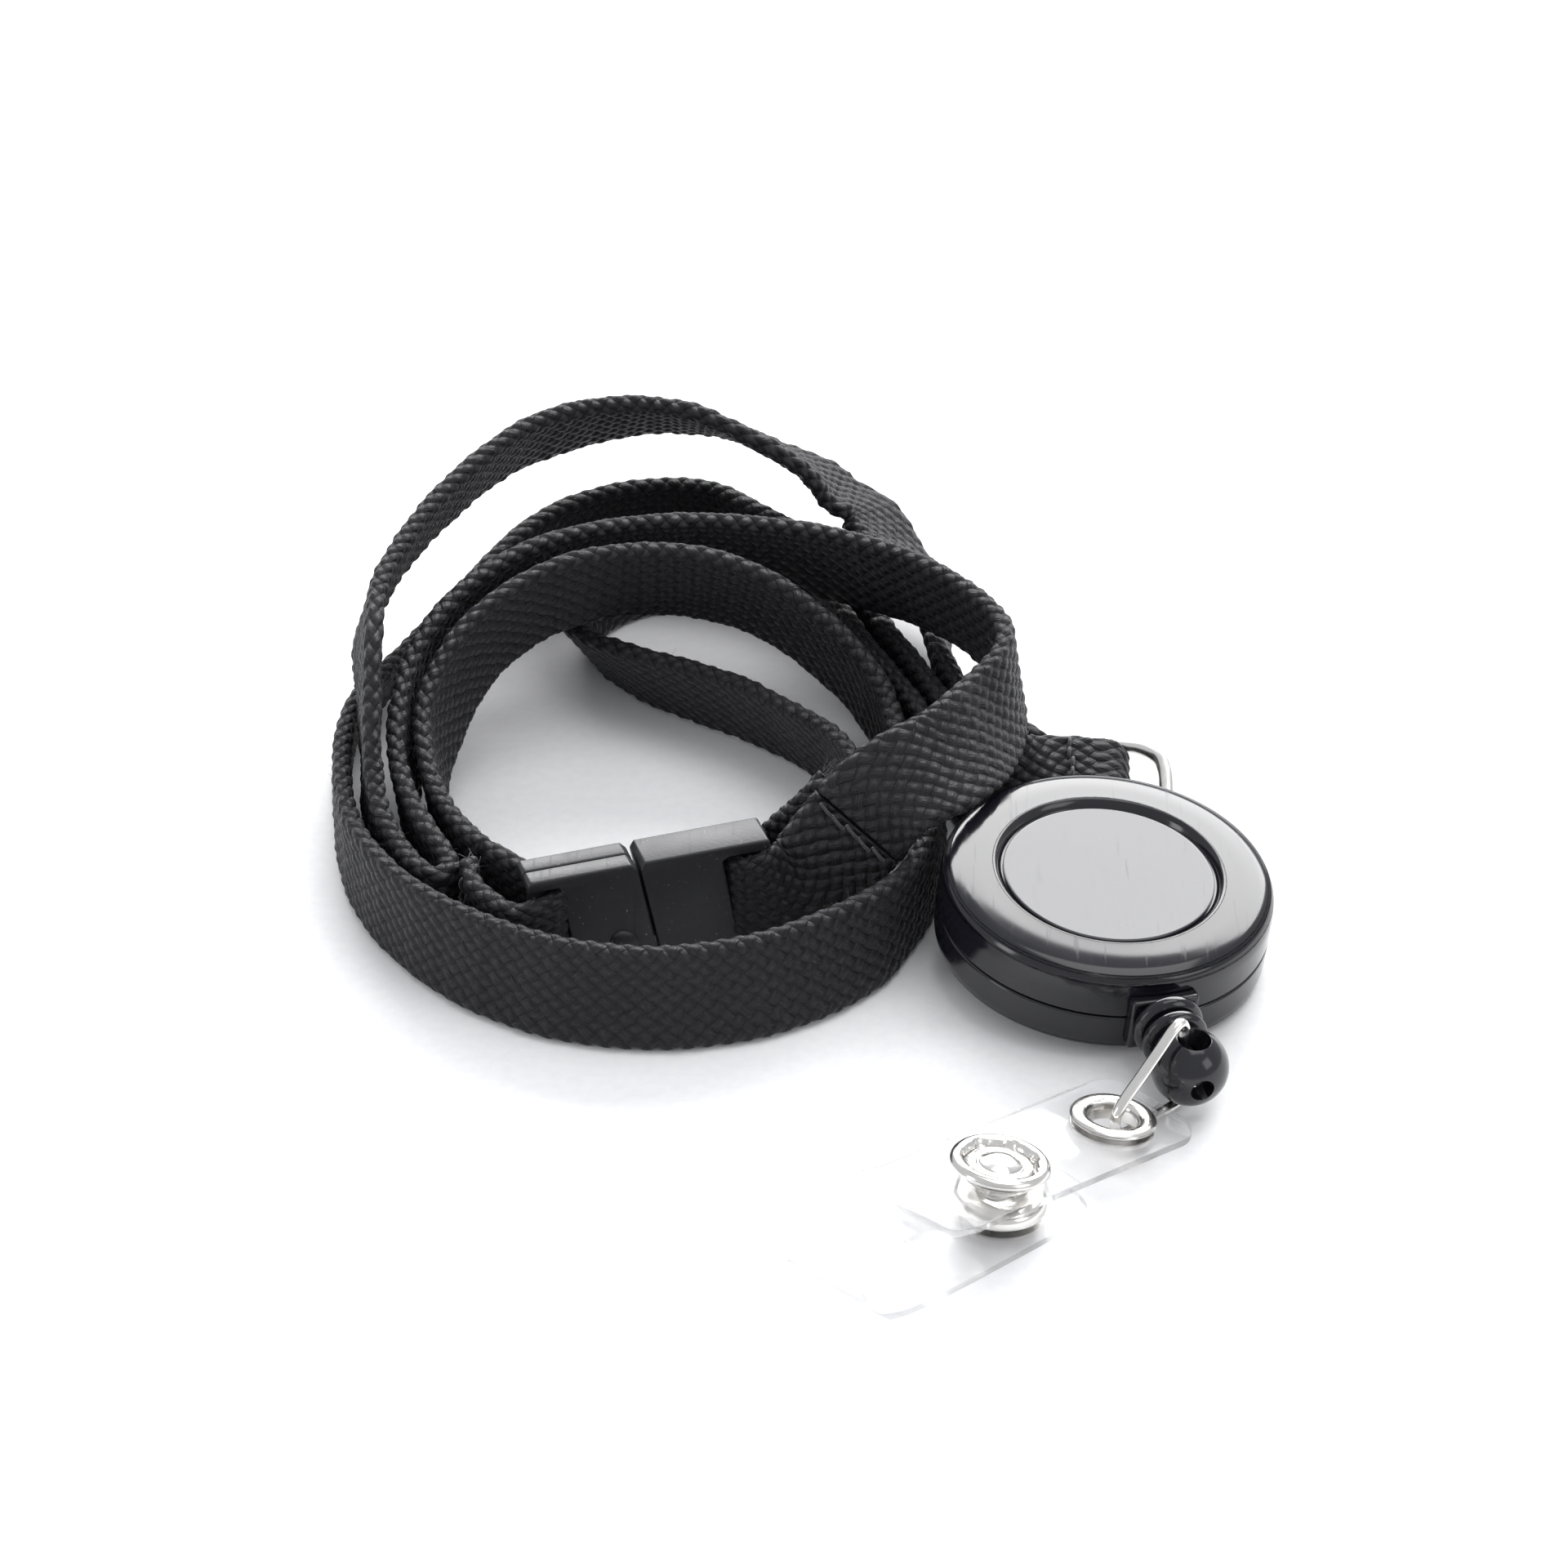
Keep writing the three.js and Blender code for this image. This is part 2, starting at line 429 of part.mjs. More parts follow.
// ---- wire link through the ball's cross hole and the strap's eyelet ----
// The loop lies in the strap's own upright plane: points of [t, z] along its heading.
const strap = new THREE.Group();
strap.position.set(STRAP_X, STRAP_Y, 0);
strap.rotation.z = rad(STRAP_HEADING);
layout.add(strap);
const LINK_LINE = [
  [-2.55, 0.75], [-2.55, 2.5], [-2.55, 5.0], [-2.55, 7.6], [-2.5, 9.2], [-2.0, 9.85], [-1.1, 9.6], [0.8, 8.2],
  [3.2, 6.5], [5.5, 4.85], [6.5, 3.7], [6.6, 2.5], [6.0, 1.5], [4.8, 0.95], [2.6, 0.72], [0.0, 0.62], [-1.7, 0.58],
];
const linkPoints = LINK_LINE.map(([t, z]) => V(t, 0, z));
node(strap, 'wire_link', wireLoop(linkPoints, LINK_WIRE_R, 0.5, 44), 'nickel');

// ---- clear strap: side profile as a line of [t, z] along its heading ----
function ribbon(line, width = STRAP_WIDTH, thick = STRAP_THICK) {
  const upper = [];
  const lower = [];
  line.forEach(([t, z], i) => {
    const before = line[Math.max(i - 1, 0)];
    const after = line[Math.min(i + 1, line.length - 1)];
    const d = new THREE.Vector2(after[0] - before[0], after[1] - before[1]).normalize();
    upper.push(new THREE.Vector2(t - (d.y * thick) / 2, z + (d.x * thick) / 2));
    lower.unshift(new THREE.Vector2(t + (d.y * thick) / 2, z - (d.x * thick) / 2));
  });
  const g = new THREE.ExtrudeGeometry(new THREE.Shape([...upper, ...lower]), { depth: width, bevelEnabled: false });
  return g.rotateX(Math.PI / 2).translate(0, width / 2, 0);
}
// a disc stack square to the strap at (t, z), turned by the strap's local slope
const onStrap = (g, t, z, slope) => g.rotateY(-Math.atan(slope)).translate(t, 0, z);

const UPPER_SLOPE = 0.2;
const upperZ = (t) => 1.75 + UPPER_SLOPE * t;
const LOWER_SLOPE = 0.1;
const lowerZ = (t) => 1.6 + LOWER_SLOPE * (t - SNAP_T);
const upperLine = [[0.9, upperZ(0.9)], [FOLD_T0, upperZ(FOLD_T0)]];
const lowerLine = [[15.0, lowerZ(15.0)], [FOLD_T0, lowerZ(FOLD_T0)]];
const eyeletHole = onStrap(cylZ(2.7, -3, 3, 24), EYELET_T, upperZ(EYELET_T), UPPER_SLOPE);
const upperHole = onStrap(cylZ(1.9, -3, 3, 20), SNAP_T, upperZ(SNAP_T), UPPER_SLOPE);
const lowerHole = onStrap(cylZ(1.5, -1, 1, 20), SNAP_T, lowerZ(SNAP_T), LOWER_SLOPE);
node(strap, 'strap_upper', subtract(ribbon(upperLine), eyeletHole, upperHole), 'vinyl');
node(strap, 'strap_lower', subtract(ribbon(lowerLine), lowerHole), 'vinyl');
const foldLine = [
  [FOLD_T0 + 0.2, upperZ(FOLD_T0 + 0.2)], [34.0, 9.3], [37.0, 10.9], [39.8, 12.0], [42.4, 12.1], [44.6, 11.2],
  [45.8, 9.3], [45.6, 7.2], [44.0, 5.4], [41.4, 4.2], [38.4, 3.5], [35.0, 3.0], [FOLD_T0 + 0.2, lowerZ(FOLD_T0 + 0.2)],
];
node(strap, 'strap_fold', ribbon(foldLine), 'vinyl');

// eyelet: rolled front ring with its barrel, and the back washer
const eyeletFront = latheZ([
  [2.25, -0.9], [2.55, -0.9], [2.55, 0.42], [3.9, 0.42], [4.1, 0.62], [3.9, 0.95], [3.0, 1.05], [2.4, 0.9],
  [2.25, 0.6], [2.25, -0.9],
], 24);
node(strap, 'eyelet_front', onStrap(eyeletFront, EYELET_T, upperZ(EYELET_T), UPPER_SLOPE), 'nickel');
const eyeletBack = latheZ([
  [2.65, -0.85], [3.8, -0.85], [4.0, -0.6], [3.9, -0.42], [2.65, -0.42], [2.65, -0.85],
], 24);
node(strap, 'eyelet_back', onStrap(eyeletBack, EYELET_T, upperZ(EYELET_T), UPPER_SLOPE), 'nickel');

// snap: ring and domed stud above the strap, stud neck below it, socket and post ring on the flap
const capRing = latheZ([
  [3.1, 0.42], [4.5, 0.42], [4.7, 0.7], [4.5, 1.15], [4.0, 1.35], [3.5, 1.25], [3.2, 0.95], [3.1, 0.42],
], 24);
node(strap, 'snap_cap_ring', onStrap(capRing, SNAP_T, upperZ(SNAP_T), UPPER_SLOPE), 'nickel');
const stud = latheZ([
  [0, -2.85], [1.1, -2.8], [1.55, -2.4], [1.45, -1.9], [1.3, -1.5], [1.3, -0.8], [3.6, -0.8], [3.6, -0.45], [1.7, -0.45],
  [1.7, 0.45], [2.9, 0.45], [2.7, 0.75], [1.6, 1.15], [0, 1.3],
], 20);
node(strap, 'snap_stud', onStrap(stud, SNAP_T, upperZ(SNAP_T), UPPER_SLOPE), 'nickel');
const socket = latheZ([
  [0, 0.45], [4.2, 0.45], [4.4, 0.7], [4.3, 1.5], [3.9, 1.9], [3.3, 2.1], [2.3, 2.1], [2.1, 1.8], [2.2, 0.8],
  [0, 0.8],
], 24);
node(strap, 'snap_socket', onStrap(socket, SNAP_T, lowerZ(SNAP_T), LOWER_SLOPE), 'nickel');
const post = latheZ([
  [0, -0.95], [3.4, -0.95], [4.1, -0.75], [4.2, -0.45], [1.2, -0.42], [1.2, 0.35], [0, 0.35],
], 24);
node(strap, 'snap_post', onStrap(post, SNAP_T, lowerZ(SNAP_T), LOWER_SLOPE), 'nickel');

// ---- pull-apart clasp: local x along the strap, seam at x = 0 ----
const clasp = new THREE.Group();
clasp.position.set(CLASP_X, CLASP_Y, 0);
clasp.rotation.z = rad(CLASP_AZIMUTH);
layout.add(clasp);
const RAIL = 0.7;
const half = CLASP_T / 2;
function claspHalf(side) {
  const place = (x0, x1) => (side > 0 ? [x0, x1] : [-x1, -x0]);
  const [a0, a1] = place(0.12, 7.0);
  const [r0, r1] = place(6.9, CLASP_BAR + 1.5);
  const block = box(a0, a1, -half, half, 0.02, CLASP_H);
  const low = box(r0, r1, -half + 0.3, half - 0.3, 0.02, RAIL);
  const high = box(r0, r1, -half + 0.3, half - 0.3, CLASP_H - RAIL, CLASP_H);
  const bar = cylZ(CLASP_BAR_R, 0.1, CLASP_H - 0.1, 16).translate(side * CLASP_BAR, 0, 0);
  return join(block, low, high, bar);
}
const slot = box(-6.0, 0.5, -1.0, 1.0, 2.2, CLASP_H - 2.2);
const bump = new THREE.SphereGeometry(1.4, 14, 10).scale(1, 0.45, 1).translate(-3.6, -half, 3.4);
node(clasp, 'clasp_socket_half', join(subtract(claspHalf(-1), slot), bump), 'satin');
const tongue = box(-5.6, 0.6, -0.7, 0.7, 2.6, CLASP_H - 2.6);
node(clasp, 'clasp_plug_half', join(claspHalf(1), tongue), 'satin');

export default holder;
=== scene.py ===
"""Lanyard badge holder: a braided neck strap with its pull-apart clasp, a D-ring and lug,
a retractable reel, and a clear snap strap on a wire link. Layout points are in millimetres."""
import math

import bmesh
import bpy
import numpy as np
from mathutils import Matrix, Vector


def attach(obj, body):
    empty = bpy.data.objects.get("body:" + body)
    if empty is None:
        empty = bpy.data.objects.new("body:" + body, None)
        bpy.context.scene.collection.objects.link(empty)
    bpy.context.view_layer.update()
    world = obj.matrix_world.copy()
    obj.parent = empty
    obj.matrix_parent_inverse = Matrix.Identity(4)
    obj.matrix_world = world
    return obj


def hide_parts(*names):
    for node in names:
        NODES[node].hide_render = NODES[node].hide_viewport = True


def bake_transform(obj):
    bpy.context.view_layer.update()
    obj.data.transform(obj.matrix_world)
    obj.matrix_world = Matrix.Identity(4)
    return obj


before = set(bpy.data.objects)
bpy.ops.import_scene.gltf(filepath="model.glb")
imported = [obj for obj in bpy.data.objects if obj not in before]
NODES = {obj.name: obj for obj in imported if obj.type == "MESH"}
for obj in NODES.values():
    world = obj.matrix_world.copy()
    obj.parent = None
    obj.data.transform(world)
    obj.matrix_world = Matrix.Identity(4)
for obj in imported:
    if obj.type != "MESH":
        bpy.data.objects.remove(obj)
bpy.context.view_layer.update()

ORIGIN = np.array([22.33, -45.42, 0.0])     # layout point that is the row's origin
MM = 0.001
RNG = np.random.default_rng(7)


def row(points):
    """Layout millimetres to the row's metres."""
    return (np.asarray(points, float) - ORIGIN) * MM


def linked(name, data):
    """A new object with this data, in the scene."""
    made = bpy.data.objects.new(name, data)
    bpy.context.scene.collection.objects.link(made)
    return made


# ---- camera ----
VIEW_ELEVATION = math.radians(35.0)
VIEW_DISTANCE = 0.650         # metres
LENS, SENSOR = 100.0, 24.0    # millimetres
camera = linked("camera", bpy.data.cameras.new("camera"))
bpy.context.scene.camera = camera
camera.data.lens = LENS
camera.data.sensor_width = camera.data.sensor_height = SENSOR
camera.data.clip_start = 0.01
look_at = Vector(row([0.0, 0.0, 0.0]))
away = Vector((0.0, -math.cos(VIEW_ELEVATION), math.sin(VIEW_ELEVATION)))
camera.location = look_at + away * VIEW_DISTANCE
camera.rotation_euler = away.to_track_quat("Z", "Y").to_euler()


# ---- meshes from whole arrays ----
def build(name, points, quads=(), tris=(), loop_uv=None, metres=False):
    """A mesh object from arrays of points, quads and triangles. The sum over the faces of
    a . (b x c) is six times the volume; where it is negative every face is turned round."""
    quads = np.asarray(quads, int).reshape(-1, 4)
    tris = np.asarray(tris, int).reshape(-1, 3)
    points = np.asarray(points, float)
    fans = np.concatenate([quads[:, [0, 1, 2]], quads[:, [0, 2, 3]], tris])
    a, b, c = (points[fans[:, k]] - points.mean(0) for k in range(3))
    turn = -1 if np.einsum("ij,ij->i", a, np.cross(b, c)).sum() < 0 else 1
    quads, tris = quads[:, ::turn], tris[:, ::turn]
    counts = np.concatenate([np.full(len(quads), 4), np.full(len(tris), 3)]).astype(np.int32)
    corners = np.concatenate([quads.ravel(), tris.ravel()]).astype(np.int32)
    mesh = bpy.data.meshes.new(name)
    mesh.vertices.add(len(points))
    mesh.loops.add(len(corners))
    mesh.polygons.add(len(counts))
    placed = points if metres else row(points)
    mesh.vertices.foreach_set("co", placed.astype(np.float32).ravel())
    mesh.loops.foreach_set("vertex_index", corners)
    starts = np.concatenate([[0], np.cumsum(counts)[:-1]]).astype(np.int32)
    mesh.polygons.foreach_set("loop_start", starts)
    mesh.update(calc_edges=True)
    mesh.validate()
    mesh.polygons.foreach_set("use_smooth", np.ones(len(mesh.polygons), bool))
    if loop_uv is not None:
        flat = np.concatenate([part[:, ::turn] for part in loop_uv if len(part)], axis=None)
        mesh.uv_layers.new(name="weave").data.foreach_set("uv", flat.astype(np.float32))
    return linked(name, mesh)


def catmull(points, t, closed=False):
    """Centripetal Catmull-Rom spline through the rows of points, at index positions t. Each
    span is the cubic with value and slope at both ends; the slope at a point weighs its two
    chords by the square root of their lengths."""
    p = np.asarray(points, float)
    if closed:
        p = np.concatenate([p[-1:], p, p[:2]])
    else:
        p = np.concatenate([2 * p[:1] - p[1:2], p, 2 * p[-1:] - p[-2:-1]])
    spans = len(p) - 3
    i = np.clip(np.floor(t).astype(int), 0, spans - 1)
    f = (np.asarray(t, float) - i)[:, None]
    p0, p1, p2, p3 = p[i], p[i + 1], p[i + 2], p[i + 3]
    gap = lambda u, v: np.maximum(np.sum((u - v) ** 2, 1), 1e-8)[:, None] ** 0.25
    d0, d1, d2 = gap(p0, p1), gap(p1, p2), gap(p2, p3)
    m1 = ((p1 - p0) / d0 - (p2 - p0) / (d0 + d1) + (p2 - p1) / d1) * d1
    m2 = ((p2 - p1) / d1 - (p3 - p1) / (d1 + d2) + (p3 - p2) / d2) * d1
    return p1 + f * (m1 + f * (-3 * p1 + 3 * p2 - 2 * m1 - m2 + f * (2 * p1 - 2 * p2 + m1 + m2)))


def unit(v):
    """Each vector divided by its length."""
    return v / np.linalg.norm(v, axis=-1, keepdims=True)


def even(points, step, closed=False):
    """Index positions along the spline that lie an even arc length apart, and the lengths."""
    last = len(points) - (0 if closed else 1)
    fine = np.linspace(0, last, 60 * last + 1)
    line = catmull(points, fine, closed)
    run = np.concatenate([[0], np.cumsum(np.linalg.norm(np.diff(line, axis=0), axis=1))])
    count = max(int(round(run[-1] / step)), 8)
    lengths = np.linspace(0, run[-1], count + 1)
    return np.interp(lengths, run, fine), lengths


def grid_quads(n, m, rows):
    """Quads between rows of m points each, every row closed on itself; row n is row 0."""
    i, j = np.meshgrid(np.arange(rows), np.arange(m), indexing="ij")
    h, k = (i + 1) % n, (j + 1) % m
    return i, j, np.stack([i * m + j, i * m + k, h * m + k, h * m + j], -1).reshape(-1, 4)


def sweep(name, centre, across, through, ring, s=None, w=None, closed=False):
    """A ring carried along a path: point(i, j) is centre(i) plus ring x times across(i)
    plus ring y times through(i). Open paths get a fan of triangles at each end."""
    n, m = len(centre), ring.shape[1]
    ring = np.broadcast_to(ring, (n, m, 2))
    grid = centre[:, None] + ring[..., :1] * across[:, None] + ring[..., 1:] * through[:, None]
    i, j, quads = grid_quads(n, m, n if closed else n - 1)
    points, tris, loop_uv = grid.reshape(-1, 3), np.zeros((0, 3), int), None
    if s is not None:
        corner = [(i, j), (i, j + 1), (i + 1, j + 1), (i + 1, j)]
        loop_uv = [np.stack([np.stack([s[a], w[b]], -1) for a, b in corner], -2).reshape(-1, 4, 2)]
    if not closed:
        q = np.arange(m)
        first = np.stack([np.full(m, n * m), (q + 1) % m, q], -1)
        last = np.stack([np.full(m, n * m + 1), (n - 1) * m + q, (n - 1) * m + (q + 1) % m], -1)
        points = np.concatenate([points, grid[0].mean(0)[None], grid[-1].mean(0)[None]])
        tris = np.concatenate([first, last])
        if s is not None:
            ends = [np.full((m, 3, 2), v) for v in (s[0], s[-1])]
            loop_uv.append(np.concatenate(ends))
    return build(name, points, quads, tris, loop_uv)


def disc_ring(radius, count):
    """A circle of count points: radius times (cos a, sin a)."""
    a = np.linspace(0, 2 * np.pi, count, endpoint=False)
    return np.stack([radius * np.cos(a), radius * np.sin(a)], -1)[None]


def rounded_ring(half_width, half_thick, radius, corner=4):
    """A rounded rectangle as one closed ring: four quarter arcs joined by the flats."""
    a = np.concatenate([np.linspace(0, np.pi / 2, corner) + q * np.pi / 2 for q in range(4)])
    sx, sy = np.repeat([[1, -1, -1, 1], [1, 1, -1, -1]], corner, axis=1)
    return np.stack([sx * (half_width - radius) + radius * np.cos(a),
                     sy * (half_thick - radius) + radius * np.sin(a)], -1)


def soften(profile, steps=5):
    """A closed line of (r, z, cut) corners, each corner turned into a parabola that starts
    and ends cut away from it, with one more point beyond each end to hold the flats flat."""
    p = np.array([q[:2] for q in profile], float)
    cut = np.array([q[2] if len(q) > 2 else 0.12 for q in profile], float)
    back, ahead = unit(np.roll(p, 1, 0) - p), unit(np.roll(p, -1, 0) - p)
    u = np.linspace(0, 1, steps)[None, :, None]
    a, b = (p + back * cut[:, None])[:, None], (p + ahead * cut[:, None])[:, None]
    bend = (1 - u) ** 2 * a + 2 * u * (1 - u) * p[:, None] + u ** 2 * b
    hold = cut[:, None, None] * 0.3
    bend = np.concatenate([a + back[:, None] * hold, bend, b + ahead[:, None] * hold], 1)
    bend[..., 0] = np.where(p[:, None, 0] < 1e-6, 0.0, np.maximum(bend[..., 0], 0))
    return bend.reshape(-1, 2)


def turned(name, line, place, steps=120, scallop=None):
    """A closed (r, z) line turned about an axis: r cos a along x, r sin a along y, z along
    the axis. scallop(r, a) may add a wave to r. Points on the axis are merged."""
    origin, x, y, z = place
    a = np.linspace(0, 2 * np.pi, steps, endpoint=False)[:, None]
    r = np.broadcast_to(line[None, :, 0], (steps, len(line)))
    if scallop is not None:
        r = r + scallop(r, a, line[None, :, 1])
    grid = origin + (r * np.cos(a))[..., None] * x + (r * np.sin(a))[..., None] * y
    grid = grid + np.broadcast_to(line[None, :, 1, None], r.shape + (1,)) * z
    piece = build(name, grid.reshape(-1, 3), grid_quads(steps, len(line), steps)[2])
    tidy_mesh(piece)
    return piece


def tidy_mesh(piece, merge=2e-6, sharp=38.0):
    """Merges doubled points, drops faces with no area, and marks edges over the angle."""
    bm = bmesh.new()
    bm.from_mesh(piece.data)
    bmesh.ops.remove_doubles(bm, verts=bm.verts, dist=merge)
    bmesh.ops.dissolve_degenerate(bm, edges=bm.edges, dist=1e-7)
    bm.to_mesh(piece.data)
    bm.free()
    piece.data.set_sharp_from_angle(angle=math.radians(sharp))


def settle(piece, sharp=35.0):
    """Applies the modifiers of a piece to its mesh."""
    bpy.context.view_layer.update()
    graph = bpy.context.evaluated_depsgraph_get()
    made = bpy.data.meshes.new_from_object(piece.evaluated_get(graph))
    piece.modifiers.clear()
    piece.data = made
    piece.data.polygons.foreach_set("use_smooth", np.ones(len(made.polygons), bool))
    made.set_sharp_from_angle(angle=math.radians(sharp))
    return piece


def carve(piece, *cutters, add=False, sharp=35.0):
    """Takes the cutters out of a piece, or joins them to it, and removes them."""
    for cutter in cutters:
        m = piece.modifiers.new("shape", "BOOLEAN")
        m.operation = "UNION" if add else "DIFFERENCE"
        m.solver = "EXACT"
        m.object = cutter
        settle(piece, sharp)
        bpy.data.objects.remove(cutter)
    return piece


def bevel(piece, width, segments=3, angle=35.0):
    """Rounds the edges sharper than the angle, width in millimetres."""
    m = piece.modifiers.new("edge", "BEVEL")
    m.width = width * MM
    m.segments = segments
    m.limit_method = "ANGLE"
    m.angle_limit = math.radians(angle)
    return settle(piece)


def prism(name, outline, low, high, place):
    """An outline in a plane, (u, v) points, carried from low to high along the third axis."""
    origin, x, y, z = place
    flat = np.array([p[0] * x + p[1] * y for p in outline]) + origin
    points = np.concatenate([flat + z * low, flat + z * high])
    n = len(outline)
    mesh = bpy.data.meshes.new(name)
    sides = [[i, (i + 1) % n, n + (i + 1) % n, n + i] for i in range(n)]
    faces = [list(range(n))[::-1], list(range(n, 2 * n))] + sides
    mesh.from_pydata(row(points).tolist(), [], faces)
    piece = linked(name, mesh)
    bm = bmesh.new()
    bm.from_mesh(mesh)
    bmesh.ops.recalc_face_normals(bm, faces=bm.faces)
    bm.to_mesh(mesh)
    bm.free()
    return piece


# ---- places of the groups ----
def spin(axis, degrees):
    """Rotation about a unit axis, by Rodrigues' formula."""
    k = np.asarray(axis, float)
    a = math.radians(degrees)
    m = np.array([[0, -k[2], k[1]], [k[2], 0, -k[0]], [-k[1], k[0], 0]])
    return np.eye(3) + math.sin(a) * m + (1 - math.cos(a)) * m @ m


REEL_CENTRE = np.array([30.0, -29.2, 1.6])
DOWNHILL = math.radians(-25.0)
REEL_TURN = spin([-math.sin(DOWNHILL), math.cos(DOWNHILL), 0], 6.0) @ spin([0, 0, 1], -72.5)
REEL = (REEL_CENTRE, REEL_TURN[:, 0], REEL_TURN[:, 1], REEL_TURN[:, 2])
EXIT_Z = 4.7
EXIT = (REEL_CENTRE + EXIT_Z * REEL_TURN[:, 2], REEL_TURN[:, 1], REEL_TURN[:, 2], REEL_TURN[:, 0])
HEADING = spin([0, 0, 1], -135.0)
STRAP_END = np.array([35.1, -53.85, 0.0])
UPPER_SLOPE, LOWER_SLOPE = 0.2, 0.1
EYELET_T, SNAP_T = 7.0, 22.2    # along the clear strap from its reel end
UPPER_START, LOWER_AT_SNAP = 1.75, 1.6    # heights of the two layers
upper_z = lambda t: UPPER_START + UPPER_SLOPE * t
lower_z = lambda t: LOWER_AT_SNAP + LOWER_SLOPE * (t - SNAP_T)
RING_BAR = np.array([31.2, -6.4, 3.9])
RING_TURN = spin([1, 0, 0], -76.0)
CLASP_TURN = spin([0, 0, 1], 17.7)
CLASP = (np.array([-13.3, -28.6, 0.0]), CLASP_TURN[:, 0], np.array([0, 0, 1.0]),
         -CLASP_TURN[:, 1])


def along_reel(p):
    """Places points given in the reel's own axes."""
    return REEL_CENTRE + np.asarray(p, float) @ REEL_TURN.T


def on_strap(t, z, slope):
    """Place of a disc square to the clear strap at (t, z), with its slope."""
    a = math.atan(slope)
    x = HEADING @ np.array([math.cos(a), 0, math.sin(a)])
    up = HEADING @ np.array([-math.sin(a), 0, math.cos(a)])
    return STRAP_END + HEADING @ np.array([t, 0, z]), x, HEADING @ np.array([0, 1.0, 0]), up


# ---- node materials ----
class Finish:
    """A node material. calc() adds a Math node, and the rest add one texture or shader."""

    def __init__(self, name, **sockets):
        self.material = bpy.data.materials.new(name)
        self.material.use_nodes = True
        self.tree = self.material.node_tree
        self.shader = self.tree.nodes["Principled BSDF"]
        self.put(**sockets)

    def put(self, **sockets):
        for key, value in sockets.items():
            socket = self.shader.inputs[key.replace("_", " ")]
            self.join(value, socket)

    def join(self, value, socket):
        if isinstance(value, bpy.types.NodeSocket):
            self.tree.links.new(value, socket)
        elif isinstance(value, tuple) and len(value) == 3 and socket.type == "RGBA":
            socket.default_value = (*value, 1.0)
        else:
            socket.default_value = value

    def node(self, kind, settings=(), **sockets):
        made = self.tree.nodes.new(kind)
        for key, value in dict(settings).items():
            setattr(made, key, value)
        for key, value in sockets.items():
            self.join(value, made.inputs[key.replace("_", " ")])
        return made

    def calc(self, operation, *values):
        made = self.tree.nodes.new("ShaderNodeMath")
        made.operation = operation
        for k, value in enumerate(values):
            self.join(value, made.inputs[k])
        return made.outputs[0]

    def place(self, stretch=(1.0, 1.0, 1.0)):
        source = self.node("ShaderNodeTexCoord").outputs["Object"]
        scaled = self.node("ShaderNodeMapping", Vector=source)
        scaled.inputs["Scale"].default_value = stretch
        return scaled.outputs[0]

    def noise(self, vector, scale, detail=3.0, rough=0.55):
        return self.node("ShaderNodeTexNoise", Vector=vector, Scale=scale, Detail=detail,
                         Roughness=rough).outputs[0]

    def spread(self, value, low, high, to_low, to_high):
        made = self.node("ShaderNodeMapRange", Value=value)
        ends = ("From Min", "From Max", "To Min", "To Max")
        for key, number in zip(ends, (low, high, to_low, to_high)):
            made.inputs[key].default_value = number
        return made.outputs[0]

    def blend(self, share, a, b):
        made = self.node("ShaderNodeMix", {"data_type": "RGBA"})
        self.join(share, made.inputs[0])
        self.join(a, made.inputs[6])
        self.join(b, made.inputs[7])
        return made.outputs[2]

    def bump(self, height, distance, strength=1.0, normal=None):
        made = self.node("ShaderNodeBump", Height=height, Distance=distance, Strength=strength)
        if normal is not None:
            self.tree.links.new(normal, made.inputs["Normal"])
        return made.outputs[0]


# ---- the braid ----
WEB_HALF = 5.25               # half width of the flat tubular braid
WEB_HALF_THICK = 0.88
EDGE_RADIUS = 0.84            # of the half circles at both edges
RING_COUNT = 80               # points around the section
FLAT = 4 * (WEB_HALF - EDGE_RADIUS)
AROUND = FLAT + 2 * math.pi * EDGE_RADIUS
CELL_S = 0.92                 # half a cell along the strap
CELL_W = AROUND / 28          # half a row around the braid
RELIEF = 0.30                 # height of a yarn's crown over the gaps
MID_HEIGHT = 0.55             # the braid height that lies on the section's outline
ARCH_POWER = 0.55             # below 1 makes the yarns full at their sides
FIRST_SHIFT, SECOND_SHIFT = 0.5, 1.5


def yarn(across, along, shift):
    """One family of yarns: an arch 1 - (2f - 1)^2 across each yarn, times a raised cosine
    along it with a period of two crossings, so that each yarn goes over one, under one."""
    index = np.floor(across)
    arch = 1 - (2 * (across - index) - 1) ** 2
    return arch ** ARCH_POWER * (0.5 + 0.5 * np.cos(np.pi * (along - index - shift)))


def braid_height(s, w):
    """Two crossing yarn families at a = (s/S + w/W)/2 and b = (s/S - w/W)/2; the surface is
    the higher of the two."""
    a, b = (s / CELL_S + w / CELL_W) / 2, (s / CELL_S - w / CELL_W) / 2
    return np.maximum(yarn(a, b, FIRST_SHIFT), yarn(b, a, SECOND_SHIFT))


